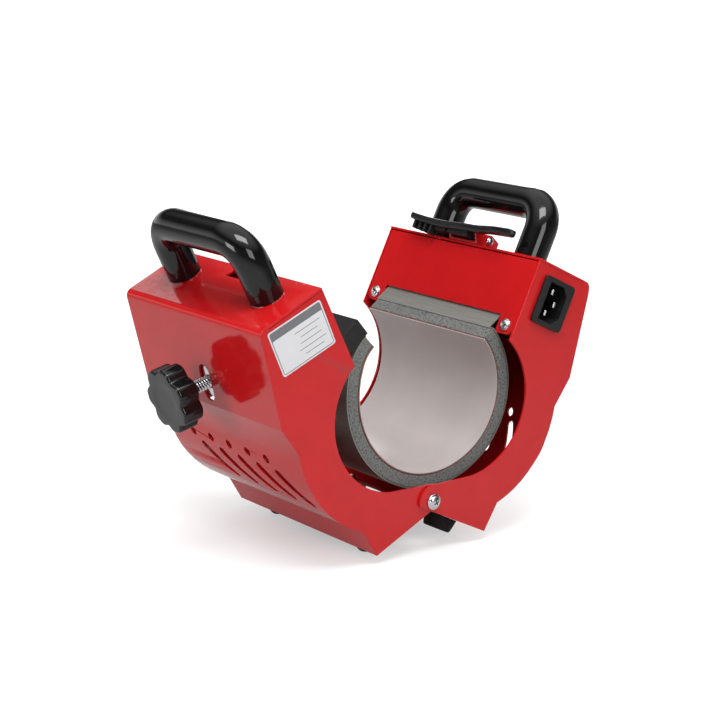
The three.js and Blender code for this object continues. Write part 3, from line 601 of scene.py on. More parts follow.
# Finishes, each a node tree of its own
def add_node(tree, kind, inputs=(), **settings):
    made = tree.nodes.new(kind)
    for name, value in settings.items():
        setattr(made, name, value)
    for name, value in dict(inputs).items():
        made.inputs[name].default_value = value
    return made


def object_point(tree, stretch=(1, 1, 1)):
    """The point on the piece, stretched for grain that runs one way."""
    where = add_node(tree, "ShaderNodeTexCoord")
    scaled = add_node(tree, "ShaderNodeMapping", {"Scale": stretch})
    tree.links.new(where.outputs["Object"], scaled.inputs["Vector"])
    return scaled.outputs["Vector"]


def noise(tree, point, scale, detail=2.0, roughness=0.5):
    made = add_node(
        tree,
        "ShaderNodeTexNoise",
        {"Scale": scale, "Detail": detail, "Roughness": roughness},
    )
    tree.links.new(point, made.inputs["Vector"])
    return made.outputs["Fac"]


def ramp(tree, value, stops):
    made = add_node(tree, "ShaderNodeValToRGB")
    points = made.color_ramp.elements
    while len(points) < len(stops):
        points.new(0.5)
    for point, (position, colour) in zip(points, stops):
        point.position = position
        point.color = colour
    tree.links.new(value, made.inputs["Fac"])
    return made.outputs["Color"]


def spread(tree, value, low, high):
    made = add_node(tree, "ShaderNodeMapRange", {"From Min": 0.3, "From Max": 0.7, "To Min": low, "To Max": high})
    tree.links.new(value, made.inputs["Value"])
    return made.outputs["Result"]


def bumped(tree, height, depth, strength=1.0, under=None):
    made = add_node(tree, "ShaderNodeBump", {"Distance": depth, "Strength": strength})
    tree.links.new(height, made.inputs["Height"])
    if under is not None:
        tree.links.new(under, made.inputs["Normal"])
    return made.outputs["Normal"]


def shaded(colour, factor):
    return (*[min(1, c * factor) for c in colour[:3]], 1)


def new_finish(name, **sockets):
    """A material with one Principled shader, its even values on the shader's own sockets."""
    material = bpy.data.materials.new(name)
    material.use_nodes = True
    tree = material.node_tree
    shader = tree.nodes["Principled BSDF"]
    for socket, value in sockets.items():
        shader.inputs[socket.replace("_", " ")].default_value = value
    return material, tree, shader


def mottled(tree, shader, point, colour, scale, change):
    """Base colour that drifts a little lighter and darker."""
    cloud = noise(tree, point, scale, 4.0, 0.6)
    stops = [(0.3, shaded(colour, 1 - change)), (0.7, shaded(colour, 1 + change))]
    tree.links.new(ramp(tree, cloud, stops), shader.inputs["Base Color"])


def red_paint(colours):
    """Glossy baked paint: shallow waves under fine orange peel."""
    material, tree, shader = new_finish("red_paint", IOR=1.5, Specular_IOR_Level=0.38)
    point = object_point(tree)
    mottled(tree, shader, point, colours.red_paint, 60, 0.04)
    tree.links.new(spread(tree, noise(tree, point, 300), 0.06, 0.12), shader.inputs["Roughness"])
    wave = bumped(tree, noise(tree, point, 130, 1.0), 0.00007, 0.5)
    peel = bumped(tree, noise(tree, point, 480, 1.0), 0.000012, 0.5, wave)
    tree.links.new(peel, shader.inputs["Normal"])
    return material


def gloss_black(colours):
    """Polished black plastic with faint handling haze."""
    material, tree, shader = new_finish("gloss_black", IOR=1.5, Specular_IOR_Level=0.42)
    point = object_point(tree)
    mottled(tree, shader, point, colours.handle_black, 90, 0.25)
    tree.links.new(spread(tree, noise(tree, point, 160, 4.0), 0.06, 0.13), shader.inputs["Roughness"])
    tree.links.new(bumped(tree, noise(tree, point, 240, 1.0), 0.00002, 0.25), shader.inputs["Normal"])
    return material


def matt_black(colours):
    """Moulded black plastic with spark-eroded grain."""
    material, tree, shader = new_finish("matt_black", IOR=1.42)
    point = object_point(tree)
    mottled(tree, shader, point, colours.moulded_black, 200, 0.3)
    tree.links.new(spread(tree, noise(tree, point, 500), 0.32, 0.46), shader.inputs["Roughness"])
    tree.links.new(bumped(tree, noise(tree, point, 2200, 3.0), 0.00003, 0.5), shader.inputs["Normal"])
    return material


def rubber(colours):
    """Dull black rubber with dust in its pores."""
    material, tree, shader = new_finish("rubber", IOR=1.4)
    point = object_point(tree)
    mottled(tree, shader, point, shaded(colours.moulded_black, 0.9), 400, 0.4)
    tree.links.new(spread(tree, noise(tree, point, 700), 0.6, 0.85), shader.inputs["Roughness"])
    tree.links.new(bumped(tree, noise(tree, point, 1500, 3.0), 0.00006, 0.6), shader.inputs["Normal"])
    return material


def zinc_plate(colours):
    """Bright plating with fine turning marks."""
    material, tree, shader = new_finish("zinc_plate", Metallic=1.0)
    point = object_point(tree)
    mottled(tree, shader, point, colours.plated_steel, 500, 0.08)
    tree.links.new(spread(tree, noise(tree, point, 1800, 3.0), 0.1, 0.24), shader.inputs["Roughness"])
    tree.links.new(bumped(tree, noise(tree, point, 3000, 2.0), 0.000008, 0.5), shader.inputs["Normal"])
    return material


def band_steel(colours):
    """Rolled strip: dull, with streaks along the press."""
    material, tree, shader = new_finish("band_steel", Metallic=0.4, IOR=1.6)
    streaked = object_point(tree, (1, 0.04, 1))
    mottled(tree, shader, streaked, colours.strip_steel, 900, 0.14)
    tree.links.new(spread(tree, noise(tree, streaked, 1600, 3.0), 0.34, 0.52), shader.inputs["Roughness"])
    tree.links.new(bumped(tree, noise(tree, streaked, 3000, 2.0), 0.000012, 0.5), shader.inputs["Normal"])
    return material


def grey_foam(colours):
    """Silicone sponge: grey skin pitted with pores, their hollows painted dark as shade."""
    material, tree, shader = new_finish("grey_foam", IOR=1.4)
    point = object_point(tree)
    pores = noise(tree, point, 780, 2.0, 0.62)
    patches = noise(tree, point, 160, 2.0, 0.5)
    grey = colours.foam_grey
    # The darkest stop is painted shade in the pores' hollows, where the same noise sinks the bump.
    stops = [(0.31, shaded(grey, 0.1)), (0.4, shaded(grey, 0.75)), (0.62, shaded(grey, 1.25))]
    tree.links.new(ramp(tree, pores, stops), shader.inputs["Base Color"])
    tree.links.new(spread(tree, patches, 0.75, 0.95), shader.inputs["Roughness"])
    tree.links.new(bumped(tree, pores, 0.0005, 0.7), shader.inputs["Normal"])
    return material


def mat_brown(colours):
    """Brown silicone of the heating mat."""
    material, tree, shader = new_finish("mat_brown", IOR=1.42)
    point = object_point(tree)
    mottled(tree, shader, point, colours.mat_brown, 350, 0.25)
    tree.links.new(spread(tree, noise(tree, point, 600), 0.5, 0.7), shader.inputs["Roughness"])
    tree.links.new(bumped(tree, noise(tree, point, 1400, 2.0), 0.00003, 0.5), shader.inputs["Normal"])
    return material


def liner_grey(colours):
    """Coated glass cloth: a fine weave under a satin coat, slightly stained by heat."""
    material, tree, shader = new_finish("liner_grey", IOR=1.4, Coat_Weight=0.15, Coat_Roughness=0.3)
    point = object_point(tree)
    mottled(tree, shader, point, colours.liner_grey, 34, 0.05)
    weave = add_node(tree, "ShaderNodeTexWave", {"Scale": 260.0, "Distortion": 0.6}, bands_direction="Y")
    tree.links.new(point, weave.inputs["Vector"])
    tree.links.new(spread(tree, noise(tree, point, 220), 0.36, 0.46), shader.inputs["Roughness"])
    cloth = bumped(tree, weave.outputs["Fac"], 0.00001, 0.35)
    tree.links.new(bumped(tree, noise(tree, point, 60, 2.0), 0.00025, 0.25, cloth), shader.inputs["Normal"])
    return material


def window_dark(colours):
    """Smoked pane over the unlit display."""
    material, tree, shader = new_finish("window_dark", IOR=1.5, Coat_Weight=0.6, Coat_Roughness=0.03)
    point = object_point(tree)
    mottled(tree, shader, point, (0.01, 0.011, 0.014, 1), 40, 0.2)
    tree.links.new(spread(tree, noise(tree, point, 300), 0.05, 0.1), shader.inputs["Roughness"])
    tree.links.new(bumped(tree, noise(tree, point, 90, 1.0), 0.00001, 0.3), shader.inputs["Normal"])
    return material


def button_grey(colours):
    """Soft grey key tops."""
    material, tree, shader = new_finish("button_grey", IOR=1.45)
    point = object_point(tree)
    mottled(tree, shader, point, (0.22, 0.23, 0.25, 1), 300, 0.1)
    tree.links.new(spread(tree, noise(tree, point, 700), 0.45, 0.6), shader.inputs["Roughness"])
    tree.links.new(bumped(tree, noise(tree, point, 1800, 2.0), 0.00002, 0.5), shader.inputs["Normal"])
    return material


def board_green(colours):
    """Lacquered board with copper runs under the lacquer."""
    material, tree, shader = new_finish("board_green", IOR=1.5, Coat_Weight=0.3, Coat_Roughness=0.1)
    point = object_point(tree)
    runs = add_node(tree, "ShaderNodeTexBrick", {"Scale": 160.0, "Mortar Size": 0.03})
    runs.inputs["Color1"].default_value = (0.012, 0.09, 0.03, 1)
    runs.inputs["Color2"].default_value = (0.016, 0.11, 0.035, 1)
    runs.inputs["Mortar"].default_value = (0.05, 0.2, 0.06, 1)
    tree.links.new(point, runs.inputs["Vector"])
    tree.links.new(runs.outputs["Color"], shader.inputs["Base Color"])
    tree.links.new(spread(tree, noise(tree, point, 500), 0.3, 0.42), shader.inputs["Roughness"])
    tree.links.new(bumped(tree, runs.outputs["Fac"], 0.00003, 0.4), shader.inputs["Normal"])
    return material


def lead_white(colours):
    """Silicone sleeve of the heater lead."""
    material, tree, shader = new_finish("lead_white", IOR=1.42)
    point = object_point(tree)
    mottled(tree, shader, point, (0.62, 0.59, 0.54, 1), 300, 0.08)
    tree.links.new(spread(tree, noise(tree, point, 900), 0.45, 0.6), shader.inputs["Roughness"])
    tree.links.new(bumped(tree, noise(tree, point, 2000, 2.0), 0.00003, 0.5), shader.inputs["Normal"])
    return material


def paper(name, colour):
    """Printed label film with a slight tooth."""
    material, tree, shader = new_finish(name, IOR=1.45, Coat_Weight=0.2, Coat_Roughness=0.2)
    point = object_point(tree)
    mottled(tree, shader, point, colour, 120, 0.02)
    tree.links.new(spread(tree, noise(tree, point, 900), 0.38, 0.46), shader.inputs["Roughness"])
    tree.links.new(bumped(tree, noise(tree, point, 900, 2.0), 0.000008, 0.4), shader.inputs["Normal"])
    return material


FINISHES = {
    "red_paint": red_paint,
    "gloss_black": gloss_black,
    "matt_black": matt_black,
    "rubber": rubber,
    "zinc_plate": zinc_plate,
    "band_steel": band_steel,
    "grey_foam": grey_foam,
    "mat_brown": mat_brown,
    "liner_grey": liner_grey,
    "window_dark": window_dark,
    "button_grey": button_grey,
    "board_green": board_green,
    "lead_white": lead_white,
    "label_white": lambda colours: paper("label_white", colours.label_white),
    "label_grey": lambda colours: paper("label_grey", colours.label_grey),
}
made_finishes = {}


def finish(slot):
    if slot not in made_finishes:
        made_finishes[slot] = FINISHES[slot](bpy.context.scene.press_colours)
    return made_finishes[slot]


# Sheet metal
def wall_bends(form, length):
    """Edges where the wrapped wall turns into an end plate, in a half's own drawing."""
    found = []
    for edge in form.edges:
        ends = [v.co for v in edge.verts]
        if not all(abs(abs(p.y) - length) < 0.00001 for p in ends) or len(edge.link_faces) != 2:
            continue
        wall = min(edge.link_faces, key=lambda face: abs(face.normal.y))
        across = [v.co.y for v in wall.verts]
        wraps = max(across) - min(across) > length
        faces_in = wall.normal.x < -0.9
        on_top = wall.normal.z > 0.9
        past_tongue = min(p.x for p in ends) > 0.012
        if wraps and past_tongue and not (faces_in or on_top):
            found.append(edge)
    return found


def block(low, high):
    form = bmesh.new()
    bmesh.ops.create_cube(form, size=1)
    form.transform(Matrix.Diagonal((*(high - low), 1)))
    form.transform(Matrix.Translation((low + high) / 2))
    return form


def top_seams(form, length, sizes):
    """Fine grooves where the top plate meets the two end plates."""
    top = max(v.co.z for v in form.verts)
    edge = [v.co.x for v in form.verts if v.co.z > top - 0.00001 and abs(v.co.y) < length]
    start, end = min(edge) - sizes.seam_width, max(edge) - sizes.bend_radius
    level = top - sizes.seam_drop
    seams = []
    for side in (-1, 1):
        inner, outer = side * (length - sizes.seam_width * 2), side * (length + sizes.seam_width)
        low = Vector((start, min(inner, outer), level - sizes.seam_width))
        high = Vector((end, max(inner, outer), level))
        seams.append(block(low, high))
    return seams


def plate_edges(form, length, sheet):
    """Long cut edges of the two end plates beside the inner cover."""
    top = max(v.co.z for v in form.verts)
    mate = min(v.co.x for v in form.verts if v.co.z > top - 0.00001)
    found = []
    for edge in form.edges:
        ends = [v.co for v in edge.verts]
        on_plate = all(abs(p.y) > length - sheet for p in ends)
        on_cut = all(abs(p.x - mate) < 0.0001 for p in ends)
        upright = abs(ends[0].z - ends[1].z) > sheet * 4
        if on_plate and on_cut and upright and edge.calc_face_angle(0) > 1:
            found.append(edge)
    return found


class PRESS_OT_shells(bpy.types.Operator):
    """Wrap the two painted shells, with bent corners and coated edges"""

    bl_idname = "press.shells"
    bl_label = "Shells"

    def execute(self, context):
        sizes = context.scene.press_sizes
        for half, place in HALVES.items():
            form = node_form(f"{half}_shell")
            form.transform(place.inverted())
            form.normal_update()
            length = max(abs(v.co.y) for v in form.verts)
            if place.determinant() < 0:
                bmesh.ops.reverse_faces(form, faces=form.faces)
            round_edges(form, wall_bends(form, length), sizes.bend_radius, 5)
            round_edges(form, plate_edges(form, length, sizes.sheet), sizes.plate_rounding, 4)
            form = carved(form, top_seams(form, length, sizes))
            round_edges(form, crisp_edges(form), sizes.edge_softness, 2)
            stand_in(f"{half}_shell", form, place, f"{half}_casing")
        return {"FINISHED"}


class PRESS_OT_covers(bpy.types.Operator):
    """Finish the inner covers and the latch bracket"""

    bl_idname = "press.covers"
    bl_label = "Inner Covers"

    def execute(self, context):
        for node in ("right_cover", "left_cover", "latch_bracket"):
            finish_node(node)
        return {"FINISHED"}


# Screws
def pan_head():
    """A flanged pan head of radius 1 and height 1 with a cross recess."""
    rim, shoulder, crown = 0.2, 0.42, 1.0
    profile = [(1.0, 0.0), (1.0, rim), (0.96, rim + 0.1), (0.86, shoulder - 0.04), (0.8, shoulder)]
    turns = 9
    for i in range(1, turns):
        angle = math.pi / 2 * i / turns
        profile.append((0.78 * math.cos(angle), shoulder + (crown - shoulder) * math.sin(angle)))
    head = turned(profile, 40)
    slots = []
    for turn in (0, math.pi / 2):
        slot = bmesh.new()
        bmesh.ops.create_cube(slot, size=1)
        for v in slot.verts:
            taper = 1.0 if v.co.z > 0 else 0.45
            v.co = Vector((v.co.x * 1.02 * taper, v.co.y * 0.2 * taper, 0.38 if v.co.z < 0 else 1.2))
        slot.transform(Matrix.Rotation(turn + 0.4, 4, "Z"))
        slots.append(slot)
    cross = carved(slots[0], slots[1:], "UNION")
    form = carved(head, [cross])
    round_edges(form, crisp_edges(form, 50), 0.02, 1)
    return form


def screw_table():
    """Each screw's half and the way its head faces, in that half's own drawing."""
    table = {"latch_bolt": (RIGHT, -AXIS_Y)}
    for half, place in HALVES.items():
        for end in ("front", "back"):
            table[f"{half}_cover_screw_{end}"] = (place, -AXIS_X)
            table[f"{half}_handle_bolt_{end}"] = (place, -AXIS_Z)
            table[f"{half}_foot_screw_{end}"] = (place, AXIS_Z)
    for end, side in (("front", -1), ("back", 1)):
        table[f"hinge_bolt_{end}"] = (WORLD, AXIS_Y * side)
    return table


def screw_form(place, node, direction, head):
    """A screw on its node's own sizes: the recessed head over a threaded shank."""
    centre, pairs = turned_sizes(place, node, direction)
    widest = max(radius for _, radius in pairs)
    seat = min(height for height, radius in pairs if radius > 0.95 * widest)
    top = max(height for height, _ in pairs)
    tip = min(height for height, _ in pairs)
    shank = max(radius for height, radius in pairs if height < tip + 0.00001)
    cap = head.copy()
    cap.transform(Matrix.Diagonal((widest, widest, top - seat, 1)))
    cap.transform(Matrix.Translation((0, 0, seat)))
    pitch = shank * 0.34
    point = circle(shank * 0.6, tip, 16)
    body = threaded_rows(shank, tip + shank * 0.3, seat + (top - seat) * 0.1, pitch, pitch * 0.5, 16, 4)
    form = joined([cap, lofted([point, *body])])
    form.transform(aimed(centre, direction))
    return form


class PRESS_OT_screws(bpy.types.Operator):
    """Turn every screw and bolt, with cross recess and thread"""

    bl_idname = "press.screws"
    bl_label = "Screws and Bolts"

    def execute(self, context):
        head = pan_head()
        for node, (place, direction) in screw_table().items():
            stand_in(node, screw_form(place, node, direction, head), place)
        head.free()
        for node in ("hinge_nut_front", "hinge_nut_back", "latch_nut"):
            finish_node(node, 0.0003)
        return {"FINISHED"}


# Handles and feet
def handle_path(reach, start, grip, bend, share, steps=14):
    """Centre line of a handle in y and z: a leg, a bend, the grip, a bend and a leg."""
    side = []
    corner = Vector((reach, grip))
    leg, end = Vector((reach, grip - bend)), Vector((reach - bend, grip))
    a, b = leg.lerp(corner, share), end.lerp(corner, share)
    for i in range(steps + 1):
        t = i / steps
        side.append((1 - t) ** 3 * leg + 3 * (1 - t) ** 2 * t * a + 3 * (1 - t) * t * t * b + t**3 * end)
    side = [Vector((reach, start)), Vector((reach, (start + leg.y) / 2)), *side]
    mirror = [Vector((-p.x, p.y)) for p in reversed(side)]
    middle = [Vector((0, grip))]
    return side + middle + mirror


def tube_rows(path, centre_x, radius, facets=40):
    rows = []
    for i, here in enumerate(path):
        run = (path[min(i + 1, len(path) - 1)] - path[max(i - 1, 0)]).normalized()
        across = Vector((-run.y, run.x))
        row = []
        for j in range(facets):
            angle = 2 * math.pi * j / facets
            out = across * (radius * math.sin(angle))
            row.append(Vector((centre_x + radius * math.cos(angle), here.x + out.x, here.y + out.y)))
        rows.append(row)
    return rows


class PRESS_OT_handles(bpy.types.Operator):
    """Bend the two polished tube handles"""

    bl_idname = "press.handles"
    bl_label = "Handles"

    def execute(self, context):
        sizes = context.scene.press_sizes
        for half, place in HALVES.items():
            node = f"{half}_handle"
            low, high = span(place, node)
            radius = (high.x - low.x) / 2
            reach, grip = high.y - radius, high.z - radius
            path = handle_path(reach, low.z, grip, sizes.handle_bend, sizes.handle_bend_share)
            rows = tube_rows(path, (low.x + high.x) / 2, radius)
            form = lofted(rows)
            round_edges(form, crisp_edges(form), 0.0007, 3)
            stand_in(node, form, place)
        return {"FINISHED"}


class PRESS_OT_feet(bpy.types.Operator):
    """Mould the four rubber feet"""

    bl_idname = "press.feet"
    bl_label = "Feet"

    def execute(self, context):
        for half, place in HALVES.items():
            for end in ("front", "back"):
                node = f"{half}_foot_{end}"
                low, high = span(place, node)
                centre = (low + high) / 2
                widest, height = (high.x - low.x) / 2, high.z - low.z
                profile = [
                    (widest * 0.3, height * 0.3),
                    (widest * 0.34, 0.0008),
                    (widest * 0.4, 0),
                    (widest * 0.76, 0),
                    (widest * 0.82, 0.0004),
                    (widest * 0.86, 0.0012),
                    (widest * 0.93, height * 0.5),
                    (widest * 0.985, height * 0.86),
                    (widest, height * 0.93),
                    (widest, height * 0.985),
                    (widest * 0.97, height),
                ]
                form = turned(profile)
                form.transform(Matrix.Translation((centre.x, centre.y, low.z)))
                stand_in(node, form, place)
        return {"FINISHED"}


# Blanket
def end_outline(form):
    """The outline of a form's front end as points in order, in x and z."""
    front = min(v.co.y for v in form.verts)
    back = max(v.co.y for v in form.verts)
    ends = {face for face in form.faces if all(v.co.y < front + 0.00001 for v in face.verts)}
    onward = {}
    for face in ends:
        for loop in face.loops:
            if not ends.issuperset(loop.edge.link_faces):
                here, there = loop.vert.co, loop.link_loop_next.vert.co
                onward[(round(here.x, 6), round(here.z, 6))] = (round(there.x, 6), round(there.z, 6))
    form.free()
    chain = [min(onward)]
    for _ in range(len(onward) - 1):
        chain.append(onward[chain[-1]])
    if onward[chain[-1]] != chain[0]:
        raise RuntimeError("the end face has no single outline")
    return [Vector(p) for p in chain], front, back


def finer(outline, steps=3, corner=30):
    """Rounds the facets of an outline and keeps its corners."""
    count = len(outline)
    points = []
    sharp = []
    for i, here in enumerate(outline):
        into = here - outline[i - 1]
        onward = outline[(i + 1) % count] - here
        sharp.append(abs(into.angle_signed(onward)) > math.radians(corner))
    for i, here in enumerate(outline):
        after = outline[(i + 1) % count]
        before = here * 2 - after if sharp[i] else outline[i - 1]
        later = after * 2 - here if sharp[(i + 1) % count] else outline[(i + 2) % count]
        for k in range(steps):
            t = k / steps
            points.append(
                0.5
                * (
                    2 * here
                    + (after - before) * t
                    + (2 * before - 5 * here + 4 * after - later) * t * t
                    + (3 * here - before - 3 * after + later) * t**3
                )
            )
    return points


def inset(outline, distance):
    """The outline drawn in by a distance."""
    count = len(outline)
    area = sum(outline[i - 1].cross(outline[i]) for i in range(count))
    turn = 1 if area > 0 else -1
    moved = []
    for i, here in enumerate(outline):
        into = (here - outline[i - 1]).normalized()
        onward = (outline[(i + 1) % count] - here).normalized()
        side = Vector((-(into.y + onward.y), into.x + onward.x)).normalized()
        reach = min(2.0, 1 / max(0.3, side.dot(Vector((-into.y, into.x)))))
        moved.append(here + side * distance * turn * reach)
    return moved


def blanket_layer(node, edge, crown=0.0):
    """A layer of the blanket with softened ends."""
    outline, front, back = end_outline(node_form(node))
    outline = finer(outline)
    stations = [(front, edge), (front + edge * 0.3, edge * 0.3), (front + edge, 0)]
    middle = 10
    for i in range(1, middle):
        share = i / middle
        stations.append((front + (back - front) * share, -crown * math.sin(math.pi * share)))
    stations += [(back - edge, 0), (back - edge * 0.3, edge * 0.3), (back, edge)]
    rows = []
    for y, depth in stations:
        drawn = inset(outline, depth) if depth else outline
        rows.append([Vector((p.x, y, p.y)) for p in drawn])
    return lofted(rows)


class PRESS_OT_blanket(bpy.types.Operator):
    """Wind the heater blanket: liner, heating mat, sponge and steel band"""

    bl_idname = "press.blanket"
    bl_label = "Heater Blanket"

    def execute(self, context):
        layers = {
            "liner_sheet": blanket_layer("liner_sheet", 0.00012),
            "heating_mat": blanket_layer("heating_mat", 0.00015),
            "foam_pad": blanket_layer("foam_pad", 0.0006),
            "heater_band": node_form("heater_band"),
        }
        for node, form in layers.items():
            piece = make_piece(f"{node}_made", form, WORLD, SLOT_OF[node], None, [node])
            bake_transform(piece)
        return {"FINISHED"}


# Pressure screw
def screw_place():
    """The pressure screw's axis: z outward from the left outer wall."""
    joint = JOINTS["pressure_knob_turn"]
    return aimed(Vector(joint["pos_m"]), -Vector(joint["axis"]))


def knob_form(low, high, radius, bore, sizes):
    """The lobed grip, its hub and its blind bore."""
    points = sizes.knob_lobes * 16
    rounding = sizes.knob_rounding
    hub, hub_height = radius * 0.44, 0.005
    face = low + hub_height

    def lobed(height, drawn_in):
        row = []
        for i in range(points):
            angle = 2 * math.pi * i / points
            wave = (1 - math.cos(angle * sizes.knob_lobes)) / 2
            reach = radius - drawn_in - sizes.knob_lobe_depth * wave**2
            row.append(Vector((reach * math.cos(angle), reach * math.sin(angle), height)))
        return row

    def rounded(height, way):
        quarter = [math.pi / 2 * i / 5 for i in range(6)]
        rows = [(height + way * rounding * (1 - math.sin(a)), rounding * (1 - math.cos(a))) for a in quarter]
        return [lobed(z, d) for z, d in rows]

    depth = low + 0.012
    rows = [
        circle(bore, depth, points),
        circle(bore, low + 0.0004, points),
        circle(bore + 0.0004, low, points),
        circle(hub - 0.0006, low, points),
        circle(hub, low + 0.0006, points),
        circle(hub, face - 0.0004, points),
        circle(hub + 0.0008, face, points),
        circle(radius * 0.6, face, points),
        *reversed(rounded(face, 1)),
        *rounded(high, -1),
        circle(radius * 0.62, high, points),
        circle(radius * 0.58, high - 0.0002, points),
        circle(radius * 0.3, high - 0.0003, points),
    ]
    return lofted(rows)


class PRESS_OT_pressure_screw(bpy.types.Operator):
    """Thread the pressure screw, and make its knob, nut, channel and clamp bar"""

    bl_idname = "press.pressure_screw"
    bl_label = "Pressure Screw"

    def execute(self, context):
        sizes = context.scene.press_sizes
        place = screw_place()
        outward = AXIS_Z
        back = place.inverted()

        def heights(node):
            points = [back @ v.co for v in NODES[node].data.vertices]
            return [(p.z, math.hypot(p.x, p.y)) for p in points]

        knob = heights("pressure_knob")
        radius = max(r for _, r in knob)
        rod = heights("pressure_rod")
        widest = max(r for _, r in rod)
        low, high = min(z for z, _ in knob), max(z for z, _ in knob)
        form = knob_form(low, high, radius, widest + 0.0003, sizes)
        stand_in("pressure_knob", form, place)

        tip, end = min(z for z, _ in rod), max(z for z, _ in rod)
        step = max(z for z, r in rod if 0.5 * widest < r < 0.9 * widest)
        neck = max(r for z, r in rod if z < tip + 0.00001)
        end = min(end, low + 0.0115)
        rows = [circle(neck * 0.9, tip, 28), circle(neck, tip + 0.0004, 28), circle(neck, step - 0.0002, 28)]
        rows += threaded_rows(widest, step, end, sizes.thread_pitch, sizes.thread_depth)
        stand_in("pressure_rod", lofted(rows), place)
        for node in ("screw_nut_block", "nut_channel", "rod_clip"):
            finish_node(node)
        finish_node("clamp_bar", 0.0006, 3)
        return {"FINISHED"}


# Electrics
class PRESS_OT_inlet(bpy.types.Operator):
    """Finish the mains inlet and its pins"""

    bl_idname = "press.inlet"
    bl_label = "Mains Inlet"

    def execute(self, context):
        finish_node("mains_inlet", 0.0003)
        for pin in ("live", "neutral", "earth"):
            finish_node(f"inlet_pin_{pin}", 0.0007, 3)
        return {"FINISHED"}


class PRESS_OT_control_panel(bpy.types.Operator):
    """Finish the control panel, its keys, the board behind it and the power switch"""

    bl_idname = "press.control_panel"
    bl_label = "Control Panel"

    def execute(self, context):
        finish_node("control_bezel", 0.0005, 3)
        finish_node("display_window", 0.0003)
        for node in ("set_button", "up_button", "down_button"):
            finish_node(node, 0.0003, 3)
        finish_node("power_switch_body", 0.0004, 3)
        finish_node("power_rocker", 0.0004, 3)
        for node in ("control_board", "heater_relay"):
            finish_node(node, 0.0003)
        finish_node("heater_lead", 0.0002)
        return {"FINISHED"}


def paddle_rows(outline, start, end, rounding):
    """The paddle's side outline carried across its width, with rounded sides."""
    quarter = [math.pi / 2 * i / 4 for i in range(5)]
    stations = [(start + rounding * (1 - math.sin(a)), rounding * (1 - math.cos(a))) for a in quarter]
    middle = [(start + (end - start) * share, 0) for share in (0.35, 0.5, 0.65)]
    stations = stations[::-1] + middle + [(start + end - x, depth) for x, depth in stations]
    rows = []
    for x, depth in stations:
        drawn = inset(outline, depth) if depth else outline
        rows.append([Vector((x, -p.x, p.y)) for p in drawn])
    return rows


def spooned(form, sizes):
    """Widens the paddle's two ends and hollows them a little."""
    form.normal_update()
    middle = sum((v.co.x for v in form.verts), 0.0) / len(form.verts)
    half = max(v.co.x for v in form.verts) - middle
    reach = max(abs(v.co.y) for v in form.verts)
    for v in form.verts:
        share = min(1, max(0, (abs(v.co.y) / reach - 0.52) / 0.22))
        share = share * share * (3 - 2 * share)
        tip = min(1, max(0, (1 - abs(v.co.y) / reach) / 0.12))
        across = (v.co.x - middle) / half
        if v.normal.z > 0.5:
            v.co.z -= sizes.spoon_hollow * share * tip * (1 - across * across)
        past = max(0, (abs(v.co.y) / reach - 0.84) / 0.16)
        rounded = max(0.3, math.sqrt(max(0, 1 - past * past)))
        v.co.x = middle + (v.co.x - middle) * (1 + sizes.spoon_width * share) * rounded
    return form


def lever_form(sizes):
    """The latch lever: a wavy paddle with spoon ends over the arms and fins of its node."""
    solid = node_form("latch_lever")
    solid.transform(RIGHT.inverted())
    sideways = solid.copy()
    sideways.transform(Matrix.Rotation(math.pi / 2, 4, "Z"))
    sideways.normal_update()
    outline, start, _ = end_outline(sideways)
    tips = 0.9 * max(abs(v.co.y) for v in solid.verts)
    end = max(v.co.x for v in solid.verts if abs(v.co.y) > tips)
    outline = finer(outline, 3, 50)
    paddle = spooned(lofted(paddle_rows(outline, start, end, sizes.paddle_rounding)), sizes)
    reach = 0.001
    wide = inset(outline, -0.00005)
    stamp = lofted([[Vector((x, -p.x, p.y)) for p in wide] for x in (start - reach, end + reach)])
    rest = carved(solid, [stamp])
    round_edges(rest, crisp_edges(rest), sizes.edge_softness, 2)
    rest.transform(Matrix.Translation((0, 0, 0.0001)))
    return joined([paddle, rest])


class PRESS_OT_latch(bpy.types.Operator):
    """Mould the latch lever and finish its spring"""

    bl_idname = "press.latch"
    bl_label = "Latch"

    def execute(self, context):
        stand_in("latch_lever", lever_form(context.scene.press_sizes), RIGHT)
        finish_node("latch_spring", 0.0001)
        return {"FINISHED"}


